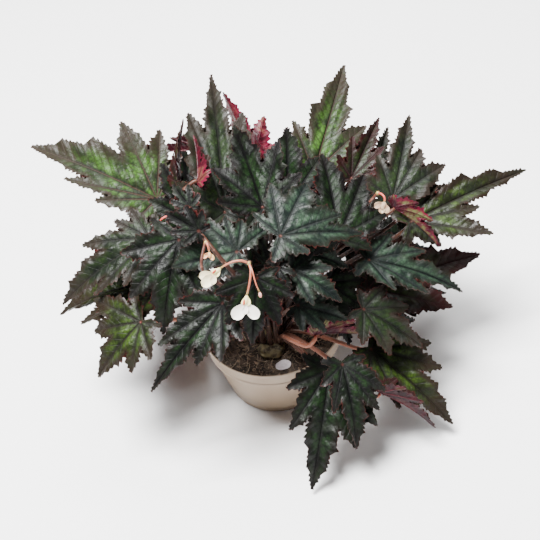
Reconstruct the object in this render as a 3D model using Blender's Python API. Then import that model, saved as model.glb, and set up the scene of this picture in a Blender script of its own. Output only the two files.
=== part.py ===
"""A potted begonia with dark, star-shaped leaves, in a pale plastic nursery pot.

The plant stands in its pot, which rests on its flat base. +Z is up, -Y is the front, and the origin is the
middle of the pot's base. Sizes are in millimetres until a mesh is made.

Each leaf is placed by three directions that lie square to one another and tilt with the front of the plant:
across (to the right), rise (up the picture) and out (towards the eye of someone who looks down at the plant).
"""

import itertools
import math
import random

import bmesh
import bpy
import numpy as np
from mathutils import Vector
from mathutils.bvhtree import BVHTree
from mathutils.geometry import delaunay_2d_cdt

MM = 0.001
GAP = 0.35
SAME_PLACE = 0.01

# The pot, a thin moulded nursery pot with a deep rim band
POT_HEIGHT = 64.0
POT_RIM_RADIUS = 60.0
POT_BASE_RADIUS = 44.0
POT_WALL = 1.3
POT_FLOOR = 1.6
RIM_BAND_HEIGHT = 14.0
RIM_BAND_STEP = 2.2
RIM_BAND_TAPER = 1.3
BAND_LEDGE = 0.8
BAND_INNER_LEDGE = 1.0
BASE_CHAMFER = 1.2
BASE_FLARE = 0.5
POT_SIDES = 36
DRAIN_HOLES = 6
DRAIN_RADIUS = 2.4
DRAIN_RING = 30.0
DRAIN_SIDES = 8
CUT_MARGIN = 2.0

# The soil, its waves as (radians per mm along x, along y, start, height), and the hole in it for the root
SOIL_TOP = 56.0
SOIL_RELIEF = 1.4
SOIL_RINGS = (14.0, 27.0, 40.0, 50.0)
SOIL_WAVES = ((0.19, 0.23, 0.2, 0.5), (0.19, -0.23, 1.0, 0.5), (0.41, -0.37, 0.0, 0.4))
SOIL_EDGE = 1.0
ROOT_CENTRE = (-2.0, -16.0)
ROOT_RADIUS = 12.0
ROOT_DEPTH = 20.0
ROOT_NECK = 6.0
ROOT_SIDES = 14
ROOT_FLAT_RADIUS = 24.0
ROOT_FLAT_BLEND = 14.0

# Knobs of the rhizome, as (x, y, z, half length along x, along y, along z)
RHIZOME_KNOBS = (
    (-4.0, -26.0, 61.0, 12.0, 10.0, 7.0),
    (-1.0, -14.0, 63.0, 13.0, 12.0, 9.0),
    (6.0, -5.0, 63.0, 11.0, 11.0, 8.0),
    (-9.0, -7.0, 62.0, 9.0, 10.0, 8.0),
)

# Three directions of the layout, and the middle of the rim that it is measured from
LAYOUT_TILT = math.radians(42.0)
LAYOUT_ROLL = math.radians(8.0)
LEVEL = Vector((1.0, 0.0, 0.0))
STEEP = Vector((0.0, math.sin(LAYOUT_TILT), math.cos(LAYOUT_TILT)))
ACROSS = LEVEL * math.cos(LAYOUT_ROLL) - STEEP * math.sin(LAYOUT_ROLL)
RISE = LEVEL * math.sin(LAYOUT_ROLL) + STEEP * math.cos(LAYOUT_ROLL)
OUT = Vector((0.0, -math.cos(LAYOUT_TILT), math.sin(LAYOUT_TILT)))
UP = Vector((0.0, 0.0, 1.0))
RIM_CENTRE = Vector((0.0, 0.0, POT_HEIGHT))

# Leaf blades
BLADE_THICKNESS = 0.8
BLADE_CLEARANCE = 1.2
SINUS_DEPTH = 0.64
SINUS_RISE = 0.22
OPEN_ANGLE = math.radians(38.0)
NOTCH_RADIUS = 0.09
NOTCH_BOTTOM = 0.036
LOBE_BULGE = 0.095
PLAIN_FLANK = (0.4, 0.1)
TOOTH_HEIGHT = 0.055
TOOTH_STEP = 0.08
TOOTH_CUT = 0.005
LONG_FLANK = 34.0
SHORT_FLANK = 16.0
MAIN_VEIN_POINTS = (0.33, 0.66)
SIDE_VEIN_POINTS = (0.5,)
LONG_LOBE = 0.9
VEIN_END = 0.94
VEIN_SLOPE = 0.22
RUFFLE_HEIGHT = 0.045
RUFFLE_WAVES = 5
FOLD_SHIFT = 0.3
FLOOR_CLEARANCE = 2.0

# Stalks
PETIOLE_RADIUS = 2.1
PETIOLE_TIP_RADIUS = 1.6
PETIOLE_SIDES = 4
ROUTE_SHARES = (0.0, 0.25, 0.52, 0.79, 1.0)
ROUTE_POINTS = len(ROUTE_SHARES) + 1
STRAIGHT_END = 2.5
ROUTE_LEANS = (-0.4, 0.0, -0.9, -1.5, 0.25)
ROUTE_SWINGS = (0.0, 0.22, -0.22, 0.42, -0.42)
ROUTE_RISES = (0.45, 0.7, 0.25)
ROUTE_HOLDS = (0.3, 0.16)
HELD_SWING = 0.6
BRANCH_SHARES = (0.0, 0.3, 0.6, 0.8, 1.0)
STALK_CLEARANCE = 0.7
OWN_CLEARANCE = 0.2
CROWN_HEIGHT = 63.0
CROWN_RADIUS = 9.0

# Room kept round the pot and its rim
POT_CLEARANCE = 3.0
RIM_OUTSIDE = 5.0
RIM_INSIDE = 6.0
STALK_LIFT = 1.0

# Moves that set a blade clear of the others, as steps for the whole blade and for its tip
WHOLE_MOVES = range(-32, 36, 4)
TIP_MOVES = range(-24, 32, 8)
TIP_MOVE_COST = 0.6

# Lobes of each leaf shape, as (angle from the main lobe in degrees, length beside the main lobe's)
LOBES = {
    "star": ((-122, 0.30), (-70, 0.50), (-32, 0.70), (0, 1.0), (34, 0.64), (74, 0.46), (128, 0.28)),
    "broad_star": ((-115, 0.36), (-66, 0.60), (-30, 0.76), (0, 1.0), (33, 0.72), (70, 0.55), (120, 0.34)),
    "narrow": ((-120, 0.22), (-52, 0.40), (-22, 0.62), (0, 1.0), (24, 0.56), (60, 0.36), (125, 0.20)),
    "far_left": ((-125, 0.22), (-90, 0.36), (-66, 0.50), (-40, 0.60), (0, 1.0), (15, 0.64), (30, 0.42), (75, 0.27)),
    "left_mid": ((-130, 0.24), (-85, 0.32), (-57, 0.36), (-28, 0.60), (0, 1.0), (17, 0.66), (38, 0.46), (95, 0.3)),
    "left_low": ((-115, 0.45), (-70, 0.86), (-39, 0.76), (0, 1.0), (35, 0.68), (68, 0.54), (125, 0.3)),
    "front_long": ((-120, 0.22), (-50, 0.38), (-17, 0.66), (0, 1.0), (20, 0.58), (45, 0.52), (72, 0.40)),
    "tall": ((-125, 0.2), (-60, 0.36), (-15, 0.67), (0, 1.0), (14, 0.71), (60, 0.34), (125, 0.2)),
    "top_green": ((-125, 0.22), (-75, 0.34), (-30, 0.60), (0, 1.0), (37, 0.46), (75, 0.26), (125, 0.2)),
    "right_top": ((-110, 0.3), (-42, 0.68), (-17, 0.64), (0, 1.0), (30, 0.50), (70, 0.42), (125, 0.25)),
    "right_far": ((-130, 0.2), (-72, 0.3), (-40, 0.60), (-15, 0.52), (0, 1.0), (30, 0.36), (75, 0.28), (125, 0.2)),
    "hanging": ((-110, 0.26), (-60, 0.38), (-27, 0.58), (0, 1.0), (27, 0.66), (48, 0.58), (100, 0.3)),
    "half_star": ((-115, 0.3), (-40, 0.36), (0, 1.0), (15, 0.72), (58, 0.74), (92, 0.62), (130, 0.4)),
    "left_star": ((-148, 0.74), (-108, 0.52), (-80, 0.54), (-54, 0.88), (0, 1.0), (45, 0.5), (110, 0.34)),
}

# Leaves seen from the front, placed in this order. Each has its shape, the place where its stalk joins it, the
# tip of its main lobe and the way its top faces, all as (across, rise, out), then fold and droop in degrees.
FRONT_LEAVES = (
    ("centre_star", "half_star", (6, 74, 115), (72, 77, 90), (0.1, 0.3, 1), 6, 45),
    ("left_star", "left_star", (-28, 62, 100), (-80, 50, 90), (-0.3, 0.2, 1), 8, 40),
    ("front_left_long", "front_long", (-39, 22, 100), (-96, -48, 92), (-0.3, 0.2, 1), 14, 35),
    ("front_right_small", "star", (16, 48, 104), (54, 23, 104), (0.2, 0.3, 1), 10, 40),
    ("front_small_down", "broad_star", (4, 50, 116), (3, 23, 117), (0, 0.3, 1), 16, 30),
    ("dark_low_centre", "broad_star", (-12, 42, 100), (-16, -10, 84), (0, 0.2, 1), 12, 38),
    ("front_right_teal", "star", (20, 20, 92), (60, 8, 82), (0.1, 0.3, 1), 12, 36),
    ("front_small_up", "star", (-2, 52, 94), (-12, 78, 92), (0, 0.3, 1), 16, 34),
    ("centre_top", "tall", (-39, 95, 62), (-53, 217, 8), (0.1, 0.3, 1), 16, 22),
    ("far_left", "far_left", (-98, 108, 25), (-209, 155, 5), (-0.1, 0.4, 1), 8, 24),
    ("right_far", "right_far", (118, 89, 25), (220, 135, 5), (0.1, 0.5, 1), 10, 24),
    ("top_green", "top_green", (36, 132, 0), (65, 233, -35), (0.1, 0.2, 1), 12, 18),
    ("left_mid", "left_mid", (-101, 74, 52), (-177, 19, 30), (-0.3, 0.4, 1), 8, 36),
    ("left_low", "left_low", (-106, 6, 72), (-143, -40, 56), (-0.3, 0.4, 1), 8, 36),
    ("bottom_hanging", "hanging", (46, -34, 62), (32, -131, 63), (0.1, 0.1, 1), 10, 30),
    ("right_low_big", "hanging", (82, -18, 48), (151, -81, 42), (0.3, 0.3, 1), 10, 32),
    ("right_top", "right_top", (102, 108, 22), (120, 184, -8), (0.1, 0.3, 1), 10, 24),
    ("right_mid", "narrow", (78, 56, 68), (158, 30, 45), (0.2, 0.6, 1), 14, 40),
    ("right_mid_back", "star", (82, 31, 15), (182, 62, 0), (0.1, 0.4, 1), 10, 26),
    ("left_inner_dark", "broad_star", (-75, 72, 82), (-88, -4, 74), (-0.2, 0.2, 1), 12, 36),
    ("centre_up", "star", (-8, 98, 80), (-32, 168, 46), (0, 0.3, 1), 20, 24),
    ("centre_right_up", "star", (12, 100, 60), (12, 170, 26), (0.1, 0.3, 1), 14, 30),
    ("top_red", "star", (-17, 143, 20), (-43, 203, 0), (0.1, 0.3, -1), 40, 24),
    ("centre_star_low", "star", (13, 64, 92), (62, 50, 80), (0.1, 0.4, 1), 12, 36),
    ("bottom_right", "hanging", (56, -28, 76), (68, -95, 76), (0.3, 0.2, 1), 12, 34),
    ("red_fold_right", "narrow", (34, -4, 88), (87, -6, 76), (0, 1, 0.1), 62, 16),
    ("red_fold_upper", "narrow", (99, 99, 58), (139, 67, 46), (0.5, 1, 0.1), 60, 20),
    ("red_strip", "narrow", (-60, 118, 84), (-64, 157, 72), (1, 0.1, 0.1), 56, 16),
    ("dark_low_right", "broad_star", (44, 38, 78), (64, -14, 64), (0.2, 0.2, 1), 12, 38),
    ("centre_right_dark", "broad_star", (53, 74, 76), (41, 145, 42), (0.2, 0.3, 1), 12, 34),
    ("left_inner_up", "broad_star", (-62, 87, 70), (-94, 138, 40), (-0.2, 0.3, 1), 12, 34),
    ("right_low_inner", "star", (74, 16, 50), (124, -16, 36), (0.3, 0.3, 1), 12, 34),
    ("upper_left_small", "star", (-65, 97, 88), (-80, 116, 78), (-0.2, 0.4, 1), 12, 34),
    ("upper_left_edge", "narrow", (-75, 119, 48), (-74, 174, 20), (-1, 0.2, 0.3), 24, 20),
    ("maroon_upper_left", "narrow", (-57, 149, 30), (-111, 147, 12), (0, 1, -0.2), 52, 22),
    ("left_small_dark", "star", (-57, 78, 92), (-84, 93, 82), (-0.3, 0.3, 1), 12, 34),
    ("centre_maroon", "star", (-9, 133, 52), (-14, 160, 40), (0, 0.1, -1), 34, 26),
    ("top_right_dark", "narrow", (68, 127, 10), (94, 182, -10), (0.1, 0.3, 1), 18, 24),
    ("right_top_narrow", "narrow", (87, 133, -5), (103, 175, -20), (0.2, 0.3, 1), 18, 22),
    ("right_up_small", "star", (112, 95, 0), (155, 124, -16), (0.2, 0.4, 1), 12, 26),
    ("right_small", "star", (84, 1, 40), (120, 6, 28), (0.3, 0.4, 1), 12, 32),
    ("right_low_curl", "narrow", (87, -52, 55), (134, -82, 46), (0.2, 1, 0.2), 55, 20),
)

# Leaves of the back half, as (bearing from the right in degrees, height and reach of the join, and of the tip)
BACK_LEAVES = (
    (20, 74, 88, 38, 176),
    (34, 118, 92, 90, 190),
    (58, 98, 84, 58, 182),
    (82, 126, 96, 98, 196),
    (106, 96, 84, 54, 184),
    (130, 124, 94, 96, 192),
    (152, 98, 84, 60, 180),
    (172, 122, 90, 92, 184),
)
BACK_FACE_LEAN = 0.3
BACK_FOLD = 10
BACK_DROOP = 34

# Flower stalks, as the place where each one ends or forks and the way it comes in, and its thinner branches, each
# as three points of its curve and the flower at its end
FLOWER_STALKS = (
    ((-18, 53, 128), (0.2, 0.3, -1)),
    ((85, 110, 72), (-0.3, -0.2, -1)),
    ((-51, 69, 120), (-0.4, -0.8, -0.1)),
    ((-84, 92, 62), (0.3, -0.3, -1)),
)
FLOWER_BRANCHES = (
    ((-18, 53, 128), (-24, 57, 130), (-31, 55, 130), "flower_left"),
    ((-18, 53, 128), (-15, 50, 131), (-17, 38, 133), "flower_right"),
    ((-18, 53, 128), (-15, 50, 132), (-14, 38, 134), "bud_front"),
    ((85, 110, 72), (88, 110, 75), (91, 107, 77), "bud_right"),
    ((-51, 69, 120), (-50, 69, 122), (-49, 66, 123), "bud_left"),
    ((-84, 92, 62), (-87, 92, 63), (-91, 90, 63), "bud_red"),
)
FLOWER_STALK_RADIUS = 1.4
BRANCH_RADIUS = 1.0

# Flowers and buds, as the middle of the seed case, the way it points and half its width and length
FLOWERS = (
    ("flower_left", (-42.5, 46.5, 127.5), (-0.7, -0.7, 0.1), 2.6, 4.4,
     ((-172, 12.0, 7.0), (-134, 13.0, 8.5), (-100, 8.0, 5.0))),
    ("flower_right", (-20.0, 24.5, 130.5), (-0.1, -1, 0.2), 2.8, 4.8,
     ((-132, 14.5, 10.0), (-48, 14.0, 9.0), (-94, 7.5, 4.6))),
    ("bud_front", (-9.4, 29.2, 131.5), (0.2, -1, 0.0), 1.3, 2.2, ()),
    ("bud_right", (88.6, 98.2, 77), (-0.3, -1, 0.1), 4.2, 5.0, ()),
    ("bud_left", (-48.0, 58.4, 121.5), (0.1, -1, 0.1), 2.8, 3.8, ()),
    ("bud_red", (-93.2, 83.2, 62.5), (-0.2, -1, 0.1), 2.4, 3.5, ()),
)
PETAL_THICKNESS = 0.8
PETAL_POINTS = 9
PETAL_CUP = 0.22
PETAL_ROOT = 0.5
PETAL_HALF_LENGTH = 0.56
PETAL_STEP = 0.9
PETAL_FIRST = -0.6
CASE_SMOOTH = {True: 1, False: 2}

# The fallen petal that lies on the soil, as its middle, its half length and half width
FALLEN_PETAL_PLACE = (5.0, -43.0)
FALLEN_PETAL_SIZE = (7.2, 5.4)
FALLEN_PETAL_BEARING = math.radians(20.0)


def layout_vector(across, rise, out):
    """A direction given along across, rise and out."""
    return ACROSS * across + RISE * rise + OUT * out


def layout_point(across, rise, out):
    """A place given along across, rise and out from the middle of the rim."""
    return RIM_CENTRE + layout_vector(across, rise, out)


def clear_scene():
    for obj in list(bpy.data.objects):
        bpy.data.objects.remove(obj, do_unlink=True)


def make_material(name, colour, roughness):
    material = bpy.data.materials.new(name)
    material.use_nodes = True
    shader = material.node_tree.nodes["Principled BSDF"]
    shader.inputs["Base Color"].default_value = (*colour, 1.0)
    shader.inputs["Roughness"].default_value = roughness
    shader.inputs["Metallic"].default_value = 0.0
    return material


def link_mesh(name, points, faces, material):
    """An object from points in millimetres and faces that point outwards."""
    mesh = bpy.data.meshes.new(name)
    mesh.from_pydata([tuple(MM * c for c in point) for point in points], [], faces)
    mesh.materials.append(material)
    obj = bpy.data.objects.new(name, mesh)
    bpy.context.scene.collection.objects.link(obj)
    return obj


def turn_profile(name, profile, sides, material):
    """A solid turned round the Z axis from (radius, height) points that run down its outer side."""
    shape = bmesh.new()
    ring = [shape.verts.new((radius * MM, 0.0, height * MM)) for radius, height in profile]
    edges = [shape.edges.new(pair) for pair in zip(ring, ring[1:])]
    bmesh.ops.spin(shape, geom=ring + edges, cent=(0, 0, 0), axis=(0, 0, 1), angle=math.tau, steps=sides,
                   use_merge=True)
    bmesh.ops.remove_doubles(shape, verts=shape.verts, dist=SAME_PLACE * MM)
    bmesh.ops.recalc_face_normals(shape, faces=shape.faces)
    mesh = bpy.data.meshes.new(name)
    shape.to_mesh(mesh)
    shape.free()
    mesh.materials.append(material)
    obj = bpy.data.objects.new(name, mesh)
    bpy.context.scene.collection.objects.link(obj)
    return obj


def upright_cylinder(name, radius, low, high, centre, sides):
    bpy.ops.mesh.primitive_cylinder_add(
        vertices=sides, radius=radius * MM, depth=(high - low) * MM,
        location=(centre[0] * MM, centre[1] * MM, (low + high) / 2 * MM))
    cylinder = bpy.context.active_object
    cylinder.name = name
    return cylinder


def hole_cutter(name, radius, low, high, centre, sides):
    """A hidden upright cylinder that cuts a hole."""
    cutter = upright_cylinder(name, radius, low, high, centre, sides)
    cutter.hide_render = True
    cutter.display_type = "WIRE"
    return cutter


def cut(obj, cutter, solver="EXACT"):
    """Cuts the cutter's shape out of the object for good."""
    boolean = obj.modifiers.new("cut_" + cutter.name, "BOOLEAN")
    boolean.operation = "DIFFERENCE"
    boolean.solver = solver
    boolean.object = cutter
    apply_modifier(obj, boolean)
    bpy.data.objects.remove(cutter, do_unlink=True)


def apply_modifier(obj, modifier):
    bpy.context.view_layer.objects.active = obj
    with bpy.context.temp_override(object=obj, active_object=obj, selected_objects=[obj]):
        bpy.ops.object.modifier_apply(modifier=modifier.name)


def fuse(obj, parts, solver="EXACT"):
    """Joins the parts to the object as one closed body."""
    group = bpy.data.collections.new(obj.name + "_parts")
    bpy.context.scene.collection.children.link(group)
    for part in parts:
        for home in list(part.users_collection):
            home.objects.unlink(part)
        group.objects.link(part)
    boolean = obj.modifiers.new("fuse", "BOOLEAN")
    boolean.operation = "UNION"
    boolean.operand_type = "COLLECTION"
    boolean.collection = group
    boolean.solver = solver
    apply_modifier(obj, boolean)
    for part in list(group.objects):
        bpy.data.objects.remove(part, do_unlink=True)
    bpy.data.collections.remove(group)


def wall_radius(height):
    """Outer radius of the pot's wall below its rim band."""
    band_bottom = POT_HEIGHT - RIM_BAND_HEIGHT
    top = POT_RIM_RADIUS - RIM_BAND_TAPER - RIM_BAND_STEP
    return POT_BASE_RADIUS + (top - POT_BASE_RADIUS) * height / band_bottom


def pot_inner_profile(inset):
    """Inner wall from the floor up to the rim, moved in by inset."""
    band_bottom = POT_HEIGHT - RIM_BAND_HEIGHT
    band_low = POT_RIM_RADIUS - RIM_BAND_TAPER - POT_WALL - inset
    return [
        (wall_radius(POT_FLOOR) - POT_WALL - inset, POT_FLOOR + inset),
        (wall_radius(band_bottom) - POT_WALL - inset, band_bottom + inset),
        (band_low, band_bottom + BAND_INNER_LEDGE + inset),
        (POT_RIM_RADIUS - POT_WALL - inset, POT_HEIGHT),
    ]


def make_pot():
    band_bottom = POT_HEIGHT - RIM_BAND_HEIGHT
    profile = [(0.0, POT_FLOOR)] + pot_inner_profile(0.0)
    profile += [
        (POT_RIM_RADIUS, POT_HEIGHT),
        (POT_RIM_RADIUS - RIM_BAND_TAPER, band_bottom),
        (wall_radius(band_bottom), band_bottom - BAND_LEDGE),
        (wall_radius(0.0) + BASE_FLARE, BASE_CHAMFER),
        (wall_radius(0.0) - BASE_CHAMFER, 0.0),
        (0.0, 0.0),
    ]
    pot = turn_profile("pot", profile, POT_SIDES, make_material("pot", (0.62, 0.56, 0.51), 0.45))
    for index in range(DRAIN_HOLES):
        angle = math.tau * (index + 0.5) / DRAIN_HOLES
        centre = (DRAIN_RING * math.cos(angle), DRAIN_RING * math.sin(angle))
        drain = hole_cutter("drain_%d" % index, DRAIN_RADIUS, -CUT_MARGIN, POT_FLOOR + CUT_MARGIN, centre, DRAIN_SIDES)
        cut(pot, drain, "MANIFOLD")
    return pot


def soil_height(x, y):
    """Top of the soil: gentle waves, flat round the root's hole."""
    wave = sum(share * math.sin(along_x * x + along_y * y + start) for along_x, along_y, start, share in SOIL_WAVES)
    from_root = math.hypot(x - ROOT_CENTRE[0], y - ROOT_CENTRE[1])
    blend = min(1.0, max(0.0, (from_root - ROOT_FLAT_RADIUS) / ROOT_FLAT_BLEND))
    return SOIL_TOP + SOIL_RELIEF * wave * blend


def make_soil():
    walls = [point for point in pot_inner_profile(GAP) if point[1] < SOIL_TOP]
    share = (SOIL_TOP - walls[-1][1]) / (POT_HEIGHT - walls[-1][1])
    rim = pot_inner_profile(GAP)[-1][0]
    edge = (walls[-1][0] + (rim - walls[-1][0]) * share, SOIL_TOP)
    profile = [(0.0, SOIL_TOP)] + [(radius, SOIL_TOP) for radius in SOIL_RINGS] + [edge]
    profile += [*reversed(walls), (0.0, POT_FLOOR + GAP)]
    soil = turn_profile("soil", profile, POT_SIDES, make_material("soil", (0.035, 0.024, 0.018), 0.95))
    for vertex in soil.data.vertices:
        x, y, z = (c / MM for c in vertex.co)
        if abs(z - SOIL_TOP) < SAME_PLACE and math.hypot(x, y) < edge[0] - SOIL_EDGE:
            vertex.co.z = soil_height(x, y) * MM
    root_low = SOIL_TOP - ROOT_DEPTH
    cut(soil, hole_cutter("root_hole", ROOT_RADIUS, root_low, SOIL_TOP + CUT_MARGIN, ROOT_CENTRE, ROOT_SIDES))
    return soil


class Blade:
    """A lobed leaf blade: a flat outline, bent to its form and placed by its join and main tip."""

    def __init__(self, shape, length, fold, droop, phase):
        self.length = length
        self.tips = [Vector((math.cos(math.radians(a)), math.sin(math.radians(a)))) * length
                     for a, length in LOBES[shape]]
        self.angles = [math.radians(a) for a, _ in LOBES[shape]]
        self.fold = math.radians(fold)
        self.droop = math.radians(droop)
        self.phase = phase
        flat, self.faces, self.rim = self.triangles()
        self.points = np.array([self.bent(u, v) for u, v in flat])
        self.normals = np.array([self.normal(u, v) for u, v in flat])

    def outline(self):
        """Flat outline from the first basal lobe round to the last, against the clock."""
        first_notch, last_notch = self.notch(self.angles[0], -math.pi), self.notch(self.angles[-1], math.pi)
        points = [Vector((-NOTCH_BOTTOM, 0.0)), first_notch]
        points += self.flank(first_notch, self.tips[0], first_notch, self.tips[0], 1.0)
        points.append(self.tips[0])
        for index in range(1, len(self.tips)):
            before, after = self.tips[index - 1], self.tips[index]
            room = min(1.0, (self.angles[index] - self.angles[index - 1]) / OPEN_ANGLE)
            sinus = self.sinus(index, room)
            points += self.flank(before, sinus, sinus, before, room)
            points.append(sinus)
            points += self.flank(sinus, after, sinus, after, room)
            points.append(after)
        points += self.flank(self.tips[-1], last_notch, last_notch, self.tips[-1], 1.0)
        points.append(last_notch)
        return points

    def flank(self, start, end, root, tip, room):
        """Points between start and end along a lobe's side, which runs from root to tip, with forward teeth.

        Room, from 0 to 1, is how far the side may swell towards its neighbour.
        """
        outward = Vector((end.y - start.y, start.x - end.x))
        size = (tip - root).length * self.length
        teeth = 2 if size > LONG_FLANK else 1 if size > SHORT_FLANK else 0
        marks = [] if teeth else [(PLAIN_FLANK[0], PLAIN_FLANK[1] * room)]
        for index in range(teeth):
            share = (index + 1.0) / (teeth + 1.0)
            swell = room * LOBE_BULGE * math.sin(math.pi * share) * (1.4 - share)
            marks.append((share, swell + TOOTH_HEIGHT * room * (1.2 - share)))
            marks.append((share + TOOTH_STEP, swell * 0.7 - TOOTH_CUT))
        points = [root.lerp(tip, share) + outward * side for share, side in marks]
        if start == tip:
            points.reverse()
        return points

    def notch(self, lobe_angle, back):
        """Corner of the heart-shaped base, half way between a basal lobe and straight back."""
        angle = (lobe_angle + back) / 2.0
        return Vector((math.cos(angle), math.sin(angle))) * NOTCH_RADIUS

    def sinus(self, index, room):
        """Bottom of the cut between a lobe and the one before it, nearer to the shorter of the two."""
        before, after = self.tips[index - 1].length, self.tips[index].length
        angle = self.angles[index - 1] * after + self.angles[index] * before
        angle /= before + after
        radius = (SINUS_DEPTH + SINUS_RISE * (1.0 - room)) * min(before, after)
        return Vector((math.cos(angle), math.sin(angle))) * radius

    def triangles(self):
        """The flat blade in triangles, with edges along its veins."""
        points = self.outline()
        count = len(points)
        rim = [(i, (i + 1) % count) for i in range(count)]
        edges = list(rim)
        centre = len(points)
        points.append(Vector((0.0, 0.0)))
        for tip in self.tips:
            shares = MAIN_VEIN_POINTS if tip.length > LONG_LOBE else SIDE_VEIN_POINTS
            chain = [centre]
            for share in shares:
                chain.append(len(points))
                points.append(tip * share)
            chain.append(next(i for i in range(count) if points[i] == tip))
            edges += list(zip(chain, chain[1:]))
        result = delaunay_2d_cdt(points, edges, [list(range(count))], 1, 1e-6)
        flat, faces, origins = result[0], result[2], result[3]
        if len(flat) != len(points):
            raise ValueError("a leaf's outline crosses itself")
        order = {origins[new][0]: new for new in range(len(flat))}
        return [tuple(p) for p in flat], [tuple(f) for f in faces], [(order[a], order[b]) for a, b in rim]

    def vein_distance(self, u, v):
        """Distance of a flat point from the nearest main vein."""
        here = Vector((u, v))
        best = here.length
        for tip in self.tips:
            share = max(0.0, min(VEIN_END, here.dot(tip) / tip.length_squared))
            best = min(best, (here - tip * share).length)
        return best

    def bent(self, u, v):
        """Place of a flat point on the bent blade, whose main lobe is one unit long."""
        reach = math.hypot(u, v)
        lift = VEIN_SLOPE * self.vein_distance(u, v)
        lift += RUFFLE_HEIGHT * reach * reach * math.sin(RUFFLE_WAVES * math.atan2(v, u) + self.phase)
        most = FOLD_SHIFT * abs(v)
        shift = math.copysign(1.0, v) * max(-most, min(most, lift))
        side = v * math.cos(self.fold) - shift * math.sin(self.fold)
        height = abs(v) * math.sin(self.fold) + lift * math.cos(self.fold)
        spread = math.hypot(u, side)
        if spread < 1e-9:
            return (u, side, height)
        turn = self.droop * spread
        far = math.sin(turn) / self.droop + height * math.sin(turn)
        drop = height * math.cos(turn) - (1.0 - math.cos(turn)) / self.droop
        return (u / spread * far, side / spread * far, drop)

    def normal(self, u, v):
        """The way the bent blade's top faces at a flat point."""
        step = 0.004
        along = Vector(self.bent(u + step, v)) - Vector(self.bent(u - step, v))
        over = Vector(self.bent(u, v + step)) - Vector(self.bent(u, v - step))
        return tuple(along.cross(over).normalized())

    def frame(self, join, tip, face):
        """The turn and the scale that take the bent blade to its place."""
        chord = Vector(self.bent(1.0, 0.0))
        local_1 = chord.normalized()
        local_2 = Vector((0.0, 1.0, 0.0))
        local_3 = local_1.cross(local_2)
        world_1 = (tip - join).normalized()
        world_3 = (face - world_1 * face.dot(world_1)).normalized()
        world_2 = world_3.cross(world_1)
        turn = np.outer(local_1, world_1) + np.outer(local_2, world_2) + np.outer(local_3, world_3)
        return turn, (tip - join).length / chord.length

    def shell(self, join, tip, face, thickness):
        """Points and triangles of the closed blade, with both faces split alike."""
        turn, scale = self.frame(join, tip, face)
        middle = np.array(join) + scale * (self.points @ turn)
        offset = self.normals @ turn * thickness / 2.0
        count = len(middle)
        points = np.concatenate([middle + offset, middle - offset])
        faces = list(self.faces)
        faces += [(a + count, c + count, b + count) for a, b, c in self.faces]
        for a, b in self.rim:
            faces += [(a + count, b + count, b), (a + count, b, a)]
        return points, faces

    def underside(self, join, tip, face):
        """Where the stalk meets the blade from below, the way down from there and the way to the tip."""
        turn, _ = self.frame(join, tip, face)
        down = -Vector(np.array((0.0, 0.0, 1.0)) @ turn)
        return join + down * (BLADE_THICKNESS / 2.0 + GAP), down, Vector(np.array((1.0, 0.0, 0.0)) @ turn)


def tube(route, radii, sides):
    """Points and triangles of a closed tube along a route, with a radius for each point."""
    points, faces = [], []
    side = None
    for index, centre in enumerate(route):
        before = (centre - route[max(index - 1, 0)]).normalized()
        after = (route[min(index + 1, len(route) - 1)] - centre).normalized()
        ahead = (before + after).normalized()
        if side is None:
            side = ahead.orthogonal().normalized()
        side = (side - ahead * side.dot(ahead)).normalized()
        across = ahead.cross(side)
        for corner in range(sides):
            angle = math.tau * corner / sides
            points.append(centre + (side * math.cos(angle) + across * math.sin(angle)) * radii[index])
    for index in range(len(route) - 1):
        for corner in range(sides):
            a = index * sides + corner
            b = index * sides + (corner + 1) % sides
            faces += [(a, b, b + sides), (a, b + sides, a + sides)]
    last = (len(route) - 1) * sides
    for corner in range(1, sides - 1):
        faces.append((0, corner + 1, corner))
        faces.append((last, last + corner, last + corner + 1))
    return points, faces


def bezier(points, shares):
    """Places along a curve with four control points, at the given shares of it."""
    a, b, c, d = points
    route = []
    for t in shares:
        s = 1.0 - t
        route.append(a * s ** 3 + b * 3 * s * s * t + c * 3 * s * t * t + d * t ** 3)
    return route


def stalk_routes(start, end, down, along):
    """Arching routes from the rhizome to the end of a stalk, the plainest first, with a short straight end."""
    reach = (end - start).length
    sideways = (end - start).cross(UP).normalized()
    bend = end + down * STRAIGHT_END
    routes = []
    for lean, swing, rise, hold in itertools.product(ROUTE_LEANS, ROUTE_SWINGS, ROUTE_RISES, ROUTE_HOLDS):
        arrive = (down + along * lean).normalized()
        first = start + UP * reach * rise + sideways * reach * swing
        second = bend + arrive * reach * hold + sideways * reach * swing * HELD_SWING
        routes.append(bezier((start, first, second, bend), ROUTE_SHARES) + [end])
    return routes


def taper(first, last, count):
    return [first + (last - first) * index / (count - 1) for index in range(count)]


def tree_of(obj):
    """A search tree of an object's faces, in millimetres."""
    points = [vertex.co / MM for vertex in obj.data.vertices]
    return BVHTree.FromPolygons(points, [tuple(face.vertices) for face in obj.data.polygons])


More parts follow.
